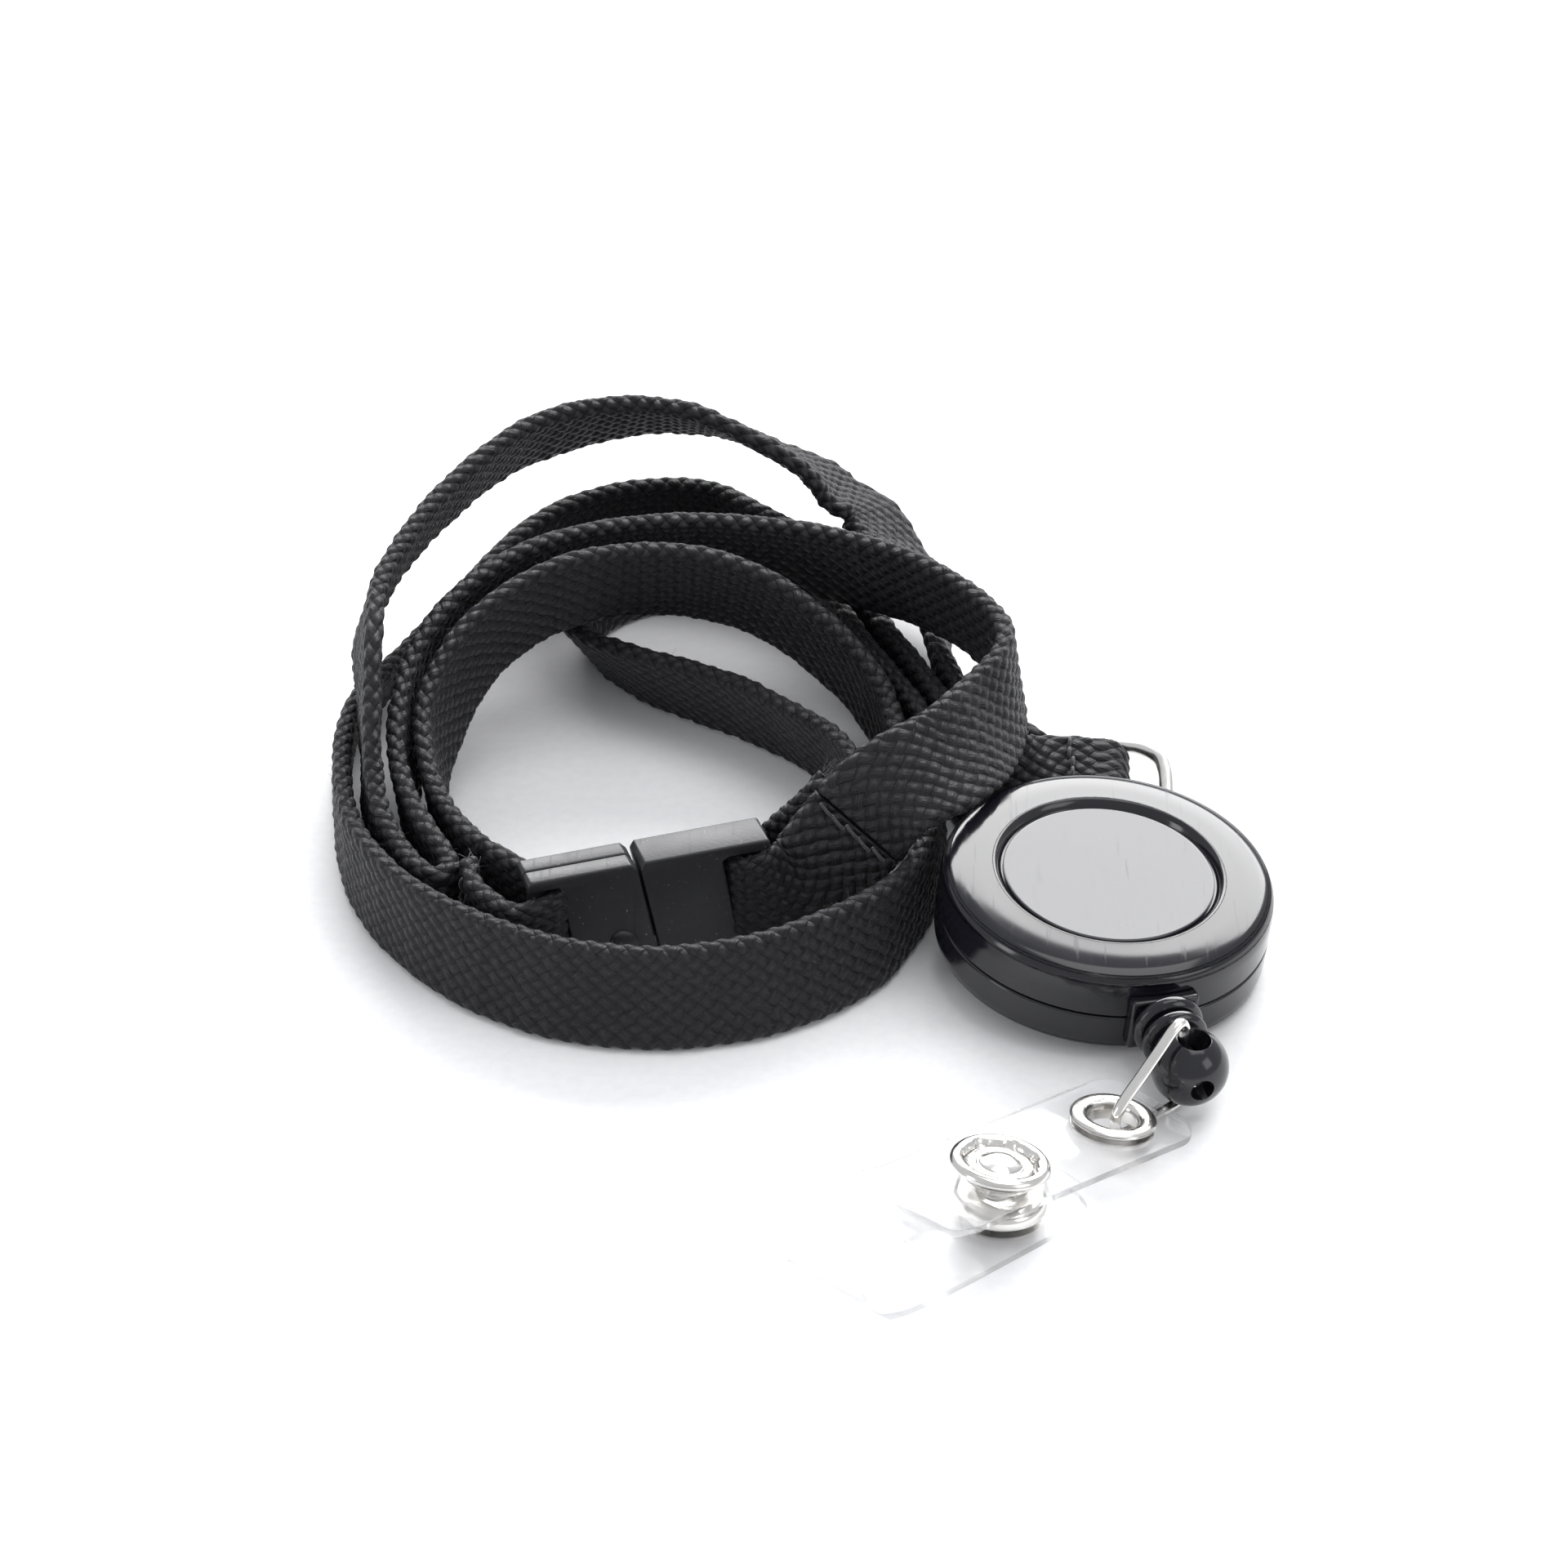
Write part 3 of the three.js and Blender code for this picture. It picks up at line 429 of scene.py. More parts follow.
def web_frames(route, step, start=0.0, end=None):
    """Centres and width and thickness directions of flat webbing on a route of
    [x, y, z, lean]. Lean tips the width from upright towards the left of travel, and the
    height of each point keeps the lower edge on the table."""
    p = np.array(route, float)
    a = np.radians(np.abs(p[:, 3]))
    p[:, 2] = np.maximum(p[:, 2], WEB_HALF * np.cos(a) + 0.75 * np.sin(a) + 0.08)
    t, lengths = even(p[:, :3], step)
    centre = catmull(p[:, :3], t)
    small = 1e-3
    tangent = unit(catmull(p[:, :3], np.minimum(t + small, len(p) - 1)) -
                   catmull(p[:, :3], np.maximum(t - small, 0)))
    lean = catmull(np.stack([p[:, 3], 20.0 * np.arange(len(p)), 0 * p[:, 3]], -1), t)[:, 0]
    left = unit(np.cross([0, 0, 1.0], tangent))
    up = np.cross(tangent, left)
    lean = np.radians(lean)[:, None]
    width = up * np.cos(lean) + left * np.sin(lean)
    return dict(t=t, s=lengths, centre=centre, width=width, thick=np.cross(tangent, width))


def part_of(f, low, high):
    """The frames whose index position lies between low and high."""
    keep = (f["t"] >= low) & (f["t"] <= high)
    return {k: v[keep] for k, v in f.items()}


def joined(f, g):
    """Frames f followed by frames g."""
    return {k: np.concatenate([f[k], g[k]]) for k in f}


def braid(name, f, scale=None, pinch=None):
    """Braid on frames f. The section is two flats joined by half circles; each of its
    points moves out by RELIEF times the braid's height, and faces sink a little mid-width."""
    run = np.linspace(0, AROUND, RING_COUNT, endpoint=False)
    half = FLAT / 2
    arc = math.pi * EDGE_RADIUS
    r = WEB_HALF - EDGE_RADIUS
    parts = [run < half, run < half + arc, run < 2 * half + arc]
    turn = np.select(parts, [0 * run, (run - half) / EDGE_RADIUS, 0 * run + math.pi],
                     math.pi + (run - 2 * half - arc) / EDGE_RADIUS)
    x = np.select(parts, [-r + run, 0 * run + r, r - (run - half - arc)], -r)
    x = x + EDGE_RADIUS * np.sin(turn)
    y = WEB_HALF_THICK * np.cos(turn)
    out = np.stack([np.sin(turn), np.cos(turn)], -1)
    height = braid_height(f["s"][:, None], run[None])
    uneven = 0.05 * np.sin(f["s"] * 0.9 + 1.3)[:, None] + 0.04 * np.sin(f["s"] * 2.3)[:, None]
    ring = np.stack([x * np.ones_like(height), y * np.ones_like(height)], -1)
    ring[..., 1] *= 1 + uneven - 0.10 * (1 - (x / WEB_HALF) ** 2)
    if scale is not None:
        ring[..., 0] *= scale[:, None]
    if pinch is not None:
        ring[..., 1] *= pinch[:, None]
    ring = ring + out[None] * (RELIEF * (height - MID_HEIGHT))[..., None]
    return sweep(name, f["centre"], f["width"], f["thick"], ring, f["s"], np.append(run, AROUND))


LEFT_LOOP = [
    [-29.9, -27.9, 5.9, 0], [-29.6, -30.5, 5.9, 0], [-28.1, -33.2, 5.9, 0], [-25.6, -34.9, 6.0, 0],
    [-23.0, -34.2, 6.2, 0], [-21.4, -32.9, 6.2, 0], [-21.5, -30.7, 6.2, 0], [-23.8, -29.3, 6.2, 0],
    [-26.9, -27.0, 6.1, 0], [-28.4, -25.3, 6.0, 0],
]
LEFT_STRAP = [
    [-29.0, -24.7, 6.0, 0], [-31.0, -21.6, 6.1, 2], [-33.0, -16.8, 6.4, 5], [-34.2, -11.4, 7.5, 8],
    [-34.4, -6.1, 9.0, 9], [-33.2, -1.3, 10.8, 6], [-30.8, 3.4, 12.9, -2], [-27.2, 7.5, 14.4, -10],
    [-21.8, 11.3, 15.4, -15], [-15.0, 13.6, 15.4, -18], [-8.4, 13.5, 15.1, -18],
    [-1.9, 11.7, 13.7, -18], [3.6, 8.6, 11.1, -16], [7.4, 5.2, 8.9, -12], [10.1, 0.9, 6.7, -6],
    [11.4, -5.0, 5.4, -3], [11.5, -9.6, 5.3, 0], [10.9, -12.5, 5.3, 0], [9.4, -13.7, 5.3, 0],
    [7.9, -12.6, 5.3, 0], [7.4, -9.8, 5.3, 6], [5.4, -3.7, 5.1, 18], [1.7, 0.6, 5.1, 22],
    [-3.0, 4.9, 5.1, 22], [-8.3, 8.3, 5.0, 24], [-14.0, 11.7, 4.8, 28], [-18.3, 15.4, 4.6, 33],
    [-20.8, 19.6, 4.6, 32], [-21.4, 24.0, 4.8, 26], [-19.2, 27.8, 5.1, 14], [-14.5, 30.2, 5.3, -2],
    [-8.5, 30.6, 5.3, -10], [-2.0, 29.0, 5.3, -12], [3.0, 25.0, 5.3, -14], [6.0, 19.5, 5.2, -14],
    [8.4, 12.5, 5.2, -12], [11.2, 5.4, 5.2, -8], [13.5, -0.6, 5.3, -4], [14.7, -6.0, 5.3, 0],
    [14.9, -11.0, 5.3, -2], [14.6, -16.5, 5.3, -4], [13.9, -22.2, 5.3, -2], [12.0, -27.6, 5.3, 2],
    [9.0, -32.5, 5.3, -6], [4.8, -36.4, 5.3, -12], [-1.4, -40.2, 5.3, -13],
    [-7.6, -42.1, 5.3, -12], [-13.0, -42.6, 5.3, -11], [-20.8, -41.2, 5.3, -11],
    [-25.6, -39.0, 5.3, -10], [-30.6, -35.7, 5.3, -7], [-35.4, -31.0, 5.3, -2],
    [-39.2, -25.4, 5.3, 0], [-41.6, -19.6, 5.3, 1], [-42.8, -13.5, 5.3, 0], [-43.3, -7.0, 5.3, -2],
    [-43.2, -0.5, 5.3, -10], [-41.8, 6.2, 4.9, -24], [-38.8, 13.0, 4.8, -28],
    [-35.2, 19.2, 4.9, -24], [-31.8, 25.0, 5.1, -18], [-28.0, 31.0, 5.3, -12],
    [-24.2, 35.8, 5.3, -12], [-19.8, 38.9, 5.3, -12], [-15.5, 40.5, 5.3, -12],
    [-10.5, 40.9, 5.3, -12], [-6.4, 39.8, 5.3, -12], [-3.2, 37.0, 5.3, -12], [1.0, 33.2, 5.3, -14],
    [4.4, 29.4, 5.2, -14], [7.0, 24.6, 5.2, -14], [9.2, 19.0, 5.2, -13], [11.0, 14.0, 5.2, -12],
    [12.8, 9.4, 5.2, -9], [16.1, 0.2, 5.3, -2], [17.4, -4.2, 5.4, 8], [19.8, -7.6, 5.5, 20],
    [24.2, -8.2, 5.9, 45], [28.0, -7.05, 5.9, 67], [30.7, -6.85, 5.7, 76],
]
RIGHT_LOOP = [
    [7.2, -21.8, 12.5, -44], [5.2, -22.8, 10.6, -32], [2.9, -23.2, 8.5, -18],
    [-0.3, -23.2, 6.8, -8], [-3.4, -23.1, 6.2, 0], [-5.4, -24.3, 6.2, 0], [-5.3, -26.5, 6.2, 0],
    [-2.9, -27.8, 6.2, 0], [1.9, -26.6, 7.1, 14], [4.6, -25.5, 9.6, 28], [6.9, -24.6, 12.2, 42],
]
RIGHT_STRAP = [
    [7.6, -24.3, 13.0, 46], [9.4, -23.5, 14.9, 57], [12.3, -22.1, 16.3, 58],
    [15.9, -19.2, 16.3, 50], [18.4, -15.3, 16.1, 38], [20.6, -10.4, 15.7, 24],
    [22.0, -6.2, 15.8, 12], [22.1, -2.5, 15.9, 8], [20.9, 1.3, 15.9, 10], [18.7, 5.1, 16.0, 14],
    [16.0, 8.3, 16.1, 16], [12.5, 11.3, 16.1, 16], [8.0, 13.9, 16.1, 16], [3.0, 16.0, 16.1, 16],
    [-3.0, 17.6, 15.9, 16], [-9.0, 18.5, 15.7, 16], [-15.3, 18.3, 15.4, 16],
    [-21.0, 16.6, 15.3, 15], [-26.4, 13.6, 15.0, 13], [-30.9, 9.3, 14.2, 9], [-34.2, 4.3, 12.9, 3],
    [-36.3, -1.3, 11.2, -4], [-37.0, -6.8, 9.5, -8], [-36.9, -12.4, 7.9, -8],
    [-35.8, -17.6, 6.9, -5], [-34.0, -22.4, 6.2, -2], [-32.4, -25.6, 5.6, 0],
    [-31.8, -27.8, 5.4, 0], [-33.0, -29.2, 5.4, 0], [-34.6, -28.0, 5.4, 0], [-36.7, -24.4, 5.5, 0],
    [-38.8, -19.6, 6.4, 0], [-39.9, -14.0, 8.6, -2], [-40.3, -8.0, 12.7, -4],
    [-40.6, -2.0, 16.2, -8], [-40.7, 4.4, 17.2, -15], [-39.3, 10.6, 17.8, -21],
    [-36.4, 17.7, 18.7, -25], [-31.6, 25.2, 19.8, -28], [-26.7, 30.9, 20.4, -32],
    [-21.0, 34.5, 20.5, -36], [-14.8, 36.2, 20.6, -43], [-9.4, 36.1, 20.3, -48],
    [-5.8, 35.6, 19.4, -54], [-3.0, 35.3, 18.2, -60], [-0.6, 35.3, 16.8, -66],
    [1.6, 35.4, 15.2, -70], [3.7, 35.3, 13.6, -74], [5.8, 34.8, 12.1, -74], [8.2, 34.0, 10.6, -68],
    [10.4, 31.6, 9.0, -58], [12.4, 28.2, 7.6, -46], [13.8, 24.0, 6.4, -32], [14.9, 19.0, 5.7, -20],
    [15.6, 14.0, 5.3, -13], [16.4, 9.0, 5.2, -9], [18.6, 0.0, 5.3, 0], [19.8, -3.2, 5.3, 10],
    [22.2, -4.4, 4.4, 40], [25.0, -5.4, 3.1, 64], [28.0, -5.9, 2.5, 74], [30.7, -5.95, 2.13, 76],
]

LAP = 0.12                    # a loop and its run overlap by this much of a route point


def loop_and_run(loop, strap, step, before):
    """Frames of the whole strap, and its two parts, cut a little before the loop's last point."""
    whole, cut = web_frames(loop + strap, step), len(loop) - before
    return whole, part_of(whole, 0, cut), part_of(whole, cut - LAP, 1e9)


left_all, left_loop, left_run = loop_and_run(LEFT_LOOP, LEFT_STRAP, 0.405, 0.5)
right_all, right_loop, right_run = loop_and_run(RIGHT_LOOP, RIGHT_STRAP, 0.33, 0.7)

# the left run goes on around the D-ring's bar and meets the right run behind it
FOLD_RADIUS, FOLD_SHIFT, FOLD_COUNT = 1.85, 0.15, 16
phi = np.linspace(-np.pi / 2 + 0.12, np.pi / 2, FOLD_COUNT)
radial = np.stack([np.cos(phi), np.sin(phi), 0 * phi], -1)
local = FOLD_RADIUS * radial + np.array([FOLD_SHIFT, 0, 0])
fold = dict(
    t=left_run["t"][-1] + np.linspace(0.1, 1, FOLD_COUNT),
    s=left_run["s"][-1] + 0.3 + FOLD_RADIUS * (phi - phi[0]),
    centre=RING_BAR + local @ RING_TURN.T, width=np.tile(RING_TURN[:, 2], (FOLD_COUNT, 1)),
    thick=np.sign(np.dot(left_run["thick"][-1], RING_TURN @ radial[0])) * radial @ RING_TURN.T,
)
left_run = joined(left_run, fold)


def narrowed(f, low, high, amount, soft=6.0):
    """Width factor: 1 away from s = low..high, and 1 - amount inside, with a smooth change."""
    reach = np.clip(np.maximum(low - f["s"], f["s"] - high) / soft, 0, 1)
    return 1 - amount * (1 - reach ** 2 * (3 - 2 * reach))


def pressed(f, at, depth, spread=0.8):
    """Thickness factor: 1 less depth e^(-((s - a) / spread)^2) at each stitched place a."""
    return 1 - sum(depth * np.exp(-((f["s"] - a) / spread) ** 2) for a in at)


def points_of(piece):
    """The vertices of a piece in the layout's millimetres."""
    co = np.zeros(len(piece.data.vertices) * 3, np.float32)
    piece.data.vertices.foreach_get("co", co)
    return co.reshape(-1, 3).astype(float) / MM + ORIGIN


def put_points(piece, p):
    piece.data.vertices.foreach_set("co", row(p).astype(np.float32).ravel())
    piece.data.update()


def eased(piece, depth, spread=3.0):
    """Shifts the band away from the reel's edge by depth e^(-(r/spread)^2), with r the
    distance from the place where the swinging reel comes nearest to it."""
    p = points_of(piece)
    far = np.linalg.norm(p - NEAREST, axis=1)
    put_points(piece, p + depth * np.exp(-(far / spread) ** 2)[:, None] * AWAY)


NEAREST = np.array([19.43, -20.92, 12.75])
AWAY = unit(np.array([-0.55, 0.62, 0.56]))
RIGHT_SEAM = right_loop["s"][-1] - 0.8
LEFT_SEAM = left_loop["s"][-1] - 0.5
left_end, right_end = left_run["s"][-1], right_run["s"][-1]
RING_SEAM = left_end - 8.5
AT_RING, AT_BAR = 0.13, 0.16              # how much the braid narrows there
RING_PINCH, LEFT_PINCH, RIGHT_PINCH = 0.25, 0.3, 0.2
web_left = braid("neck_braid_left", left_run,
                 narrowed(left_run, left_end - 8, left_end, AT_RING, 10.0),
                 pressed(left_run, [RING_SEAM], RING_PINCH))
web_right = braid("neck_braid_right", right_run,
                  narrowed(right_run, right_end - 2, 1e6, AT_RING, 10.0),
                  pressed(right_run, [right_end - 3.0], RING_PINCH))
eased(web_right, 0.32)
BAR_POINT = 5                             # route point at the strap bar of each clasp half
bar_left, bar_right = (f["s"][np.argmin(np.abs(f["t"] - BAR_POINT))] for f in (left_all, right_all))
loop_left = braid("clasp_loop_left", left_loop,
                  narrowed(left_loop, bar_left - 3, bar_left + 3, AT_BAR),
                  pressed(left_loop, [LEFT_SEAM, 1.6], LEFT_PINCH))
loop_right = braid("clasp_loop_right", right_loop,
                   narrowed(right_loop, bar_right - 3, bar_right + 3, AT_BAR),
                   pressed(right_loop, [RIGHT_SEAM], RIGHT_PINCH))


# ---- sewing thread and the frayed cut ends ----
THREAD_RADIUS, YARN_END_RADIUS, HAIR_RADIUS = 0.17, 0.055, 0.016


def fibres(name, roots, directions, lengths, radius, bend, steps=6):
    """Fine hairs in one mesh: root + L (u d + u^2 k), with d the direction and k a sideways
    bend, each a thin square tube that narrows to its tip."""
    sides = 4
    u = np.linspace(0, 1, steps)[None, :, None]
    lines = roots[:, None] + lengths[:, None, None] * (
        u * directions[:, None] + u ** 2 * bend[:, None])
    side = unit(np.cross(directions, [0.31, 0.52, 0.79]))
    other = np.cross(directions, side)
    a = np.linspace(0, 2 * np.pi, sides, endpoint=False)
    thin = radius * (1 - 0.6 * u[..., None])
    turn = a[None, None, :, None]
    ring = np.cos(turn) * side[:, None, None] + np.sin(turn) * other[:, None, None]
    grid = lines[:, :, None] + thin * ring
    count = len(roots)
    h, i, j = np.meshgrid(np.arange(count), np.arange(steps - 1), np.arange(sides), indexing="ij")
    base = h * steps * sides
    k = (j + 1) % sides
    quads = np.stack([base + i * sides + j, base + i * sides + k,
                      base + (i + 1) * sides + k, base + (i + 1) * sides + j], -1).reshape(-1, 4)
    root = np.arange(count)[:, None] * steps * sides
    first = root + np.arange(sides)[None, ::-1]
    last = root + (steps - 1) * sides + np.arange(sides)[None]
    return build(name, grid.reshape(-1, 3), np.concatenate([quads, first, last]))


def frayed_end(name, f, count=150):
    """Yarn ends that stand out of a cut end: rooted over the section, aimed backwards."""
    back = -unit(f["centre"][1] - f["centre"][0])
    x = RNG.uniform(-WEB_HALF + 0.3, WEB_HALF - 0.3, count)
    y = RNG.uniform(-0.7, 0.7, count)
    roots = f["centre"][0] + x[:, None] * f["width"][0] + y[:, None] * f["thick"][0] - 0.5 * back
    aim = unit(back + RNG.normal(0, 0.33, (count, 3)))
    return fibres(name, roots, aim, RNG.uniform(0.7, 1.9, count), YARN_END_RADIUS,
                  RNG.normal(0, 0.35, (count, 3)))


def stitches(name, f, at, side, count=5, reach=0.62):
    """A row of lockstitches across the braid: short arched threads, the middle of each
    raised above the face and both its ends sunk in it."""
    i = int(np.argmin(np.abs(f["s"] - at)))
    x = np.linspace(-WEB_HALF * reach, WEB_HALF * reach, count)
    gap = x[1] - x[0]
    u = np.linspace(-1, 1, 14)
    ring = disc_ring(THREAD_RADIUS, 8)
    made = []
    tangent = unit(np.cross(f["width"][i], f["thick"][i]))
    lift = side * (0.62 + 0.34 * np.sqrt(np.clip(1 - u ** 2, 0, 1)))
    for k, middle in enumerate(x):
        line = (f["centre"][i] + (middle + 0.47 * gap * u)[:, None] * f["width"][i]
                + lift[:, None] * f["thick"][i] + (0.10 * (-1) ** k + 0.12 * u)[:, None] * tangent)
        made.append(sweep(f"{name}_{k}", line, np.tile(tangent, (len(u), 1)),
                          unit(np.cross(np.gradient(line, axis=0), tangent)), ring))
    return fuse(name, made)


def fuse(name, objects):
    """Joins the meshes of several objects into one piece."""
    bm = bmesh.new()
    for o in objects:
        bm.from_mesh(o.data)
        bpy.data.objects.remove(o)
    mesh = bpy.data.meshes.new(name)
    bm.to_mesh(mesh)
    bm.free()
    mesh.polygons.foreach_set("use_smooth", np.ones(len(mesh.polygons), bool))
    return linked(name, mesh)


def facing(f, i, out):
    """1 where the thickness direction of frame i points along out, and -1 against it."""
    return np.sign(np.dot(f["thick"][i], out))


seam_right = stitches("seam_right", right_loop, RIGHT_SEAM, facing(right_loop, -2, [0, -1, 0.3]))
seam_right_back = stitches("seam_right_back", right_loop, 1.9, facing(right_loop, 3, [0, 1, 0]))
seam_left = stitches("seam_left", left_loop, 1.8, facing(left_loop, 3, [-1, -1, 0]))
seam_ring = stitches("seam_ring", left_run, RING_SEAM, facing(left_run, -36, [0, -1, 0.5]), 7, 0.66)
fray_right = frayed_end("frayed_end_right", right_loop)
fray_left = frayed_end("frayed_end_left", left_loop, 90)


def fuzz(name, f, count):
    """Stray fibres that stand off the braid's faces and edges."""
    i = RNG.integers(2, len(f["s"]) - 2, count)
    a = RNG.uniform(0, 2 * np.pi, count)
    x = np.clip(np.cos(a) * 7.0, -WEB_HALF, WEB_HALF) * 0.97
    y = np.sign(np.sin(a)) * 0.8 * (1 - (np.abs(x) / WEB_HALF) ** 8)
    roots = f["centre"][i] + x[:, None] * f["width"][i] + y[:, None] * f["thick"][i]
    out = f["thick"][i] * np.sign(y + 1e-9)[:, None] + f["width"][i] * (x / WEB_HALF)[:, None] ** 5
    aim = unit(out * 0.6 + RNG.normal(0, 0.7, (count, 3)))
    return fibres(name, roots, aim, RNG.uniform(0.25, 0.75, count), HAIR_RADIUS,
                  RNG.normal(0, 0.5, (count, 3)), 4)


fuzz_left = fuzz("stray_fibres_left", left_run, 1500)
fuzz_right = fuzz("stray_fibres_right", right_run, 1200)
eased(fuzz_right, 0.7)

# ---- reel ----
FRONT_LINE = [
    (14.6, 4.32, 0.1), (15.8, 4.32, 0.08), (15.98, 4.5, 0.08), (16.0, 7.3, 0.6),
    (15.75, 8.45, 0.5), (14.9, 9.0, 0.6), (13.2, 9.22, 0.7), (11.5, 9.3, 0.3), (10.95, 9.33, 0.2),
    (10.62, 8.98, 0.16), (10.35, 8.52, 0.12), (9.6, 8.5, 0.1), (0, 8.5, 0.0), (0, 7.3, 0.0),
    (13.9, 7.3, 0.3), (14.6, 6.6, 0.3),
]
BACK_LINE = [
    (2.0, 0.0, 0.1), (14.6, 0.0, 0.4), (15.6, 0.45, 0.4), (15.9, 1.3, 0.4), (15.98, 4.0, 0.08),
    (15.8, 4.18, 0.08), (14.6, 4.18, 0.1), (14.6, 1.3, 0.2), (2.0, 1.3, 0.1),
]
DISC_LINE = [
    (0, 8.52, 0.0), (10.12, 8.52, 0.05), (10.12, 8.78, 0.1), (9.9, 8.82, 0.08), (0, 8.82, 0.0),
]


def bore(radius, low, high, place):
    """A round cutter or bar of this radius along the place's axis, from low to high."""
    return turned("bore", np.array([[0, low], [radius, low], [radius, high], [0, high]]), place, 40)


shell_front = turned("reel_shell_front", soften(FRONT_LINE), REEL, 200)
shell_back = turned("reel_shell_back", soften(BACK_LINE), REEL, 200)
for shell in (shell_front, shell_back):
    carve(shell, bore(1.15, 12.0, 19.0, EXIT), sharp=30)
disc = turned("reel_disc", soften(DISC_LINE), REEL, 160)



def box_outline(u0, v0, u1, v1):
    """The four corners of a rectangle."""
    return [(u0, v0), (u1, v0), (u1, v1), (u0, v1)]


exit_plate = prism("exit_frame_plate", box_outline(-3.3, -3.1, 3.3, 2.3), 15.0, 17.0, EXIT)
bevel(exit_plate, 0.32, 4)
inner_pocket = prism("pocket", box_outline(-2.55, -2.4, 2.55, 1.6), 16.7, 18.0, EXIT)
carve(exit_plate, bore(16.15, 0.0, 9.2, REEL), inner_pocket, bore(1.3, 14.0, 19.0, EXIT))
bevel(exit_plate, 0.08, 2, 50)

BALL_RADIUS, BALL_X = 3.65, 23.9          # the ball's centre lies BALL_X from the reel's axis
ball_angle = np.linspace(0.62, math.pi, 26)
ball_line = np.stack([BALL_RADIUS * np.sin(ball_angle),
                      BALL_X - BALL_RADIUS * np.cos(ball_angle)], -1)
ball_line[-1, 0] = 0
COLLARS = [
    (0, 17.3, 0.0), (2.95, 17.3, 0.25), (3.4, 17.65, 0.2), (3.4, 18.3, 0.25), (2.95, 18.75, 0.2),
    (2.25, 18.8, 0.15), (2.25, 19.15, 0.12), (2.85, 19.2, 0.2), (3.2, 19.55, 0.2),
    (3.2, 20.1, 0.22), (2.75, 20.5, 0.2), (2.12, 20.6, 0.12),
]
SOFT_POINTS = 7                           # points that soften() makes of each corner
collar_line = soften(COLLARS + [(2.0, 22.0, 0.01), (0, 22.0, 0.0)])[:SOFT_POINTS * len(COLLARS)]
fitting = turned("end_fitting_bored", np.concatenate([collar_line, ball_line]), EXIT, 96)
ball_place = (along_reel([BALL_X, 0, EXIT_Z]), *REEL_TURN.T)
carve(fitting, bore(1.6, -6.0, 6.0, ball_place), bore(0.75, 16.0, 21.2, EXIT),
      bore(1.35, 21.0, 24.0, EXIT), bore(1.15, 24.0, 29.0, EXIT), sharp=32)
bevel(fitting, 0.1, 2, 55)

# the pull cord from the drum to the knot in the fitting
CORD_RADIUS = 0.4
x_run = np.linspace(13.2, 21.6, 60)
cord_line = along_reel(np.stack([x_run, 0 * x_run, 0 * x_run + EXIT_Z], -1))
pull_cord = sweep("pull_cord", cord_line, np.tile(REEL_TURN[:, 1], (len(x_run), 1)),
                  np.tile(REEL_TURN[:, 2], (len(x_run), 1)), disc_ring(CORD_RADIUS, 14))

# ---- wire link and D-ring ----
LINK_LINE = [
    [-2.55, 0.75], [-2.55, 2.5], [-2.55, 5.0], [-2.55, 7.6], [-2.5, 9.2], [-2.0, 9.85],
    [-1.1, 9.6], [0.8, 8.2], [3.2, 6.5], [5.5, 4.85], [6.5, 3.7], [6.6, 2.5], [6.0, 1.5],
    [4.8, 0.95], [2.6, 0.72], [0.0, 0.62], [-1.7, 0.58],
]
HALF_RING = [
    [0, 2.3], [0, 4.6], [0.3, 5.5], [1.2, 5.8], [2.6, 5.72], [4.2, 5.34], [5.75, 4.1], [6.32, 2.25],
]
RING_LINE = [[0, 0]] + HALF_RING + [[6.4, 0]] + [[x, -z] for x, z in HALF_RING[::-1]]
LINK_RADIUS, LINK_SQUEEZE, RING_RADIUS = 0.5, 1.15, 0.8


def wire(name, origin, turn, points, radius, squeeze=1.0):
    """A closed wire: a disc ring carried along the closed spline through flat points, placed
    by origin + (x, 0, z) turned; squeeze widens the disc across that plane."""
    points = origin + np.array([[x, 0, z] for x, z in points]) @ turn.T
    t, _ = even(points, 0.28, closed=True)
    t = t[:-1]
    line = catmull(points, t, closed=True)
    tangent = unit(catmull(points, (t + 1e-3) % len(points), True) - line)
    through = np.tile(turn[:, 1], (len(line), 1))
    ring = disc_ring(radius, 20) * np.array([1.0, squeeze])
    return sweep(name, line, np.cross(tangent, through), through, ring, closed=True)


link = wire("link_wire", STRAP_END, HEADING, LINK_LINE, LINK_RADIUS, LINK_SQUEEZE)
dee = wire("dee_ring_wire", RING_BAR, RING_TURN, RING_LINE, RING_RADIUS)

# ---- clear strap ----
STRAP_HALF, STRAP_THICK, STRAP_EDGE, CORNER = 6.15, 0.75, 0.11, 3.2
upper_ts = np.array([0.95, 4.0, 10.0, 18.0, 25.0, 29.5, 31.2])
FOLD_LINE = np.array([
    [34.0, 9.0], [37.0, 10.7], [39.8, 11.85], [42.4, 12.0], [44.6, 11.1], [45.8, 9.2],
    [45.6, 7.1], [44.0, 5.3], [41.4, 4.1], [38.4, 3.4], [35.0, 2.95],
])
lower_ts = np.array([31.2, 29.5, 25.0, 20.0, 17.0, 15.0])
strap_line = np.insert(np.concatenate([
    np.stack([upper_ts, upper_z(upper_ts)], -1), FOLD_LINE,
    np.stack([lower_ts, lower_z(lower_ts)], -1),
]), 1, 0.0, axis=1)
t, lengths = even(strap_line, 0.22)
flat_line = catmull(strap_line, t)
tangent = unit(np.gradient(flat_line, axis=0))
through = np.cross(tangent, [0, 1.0, 0])
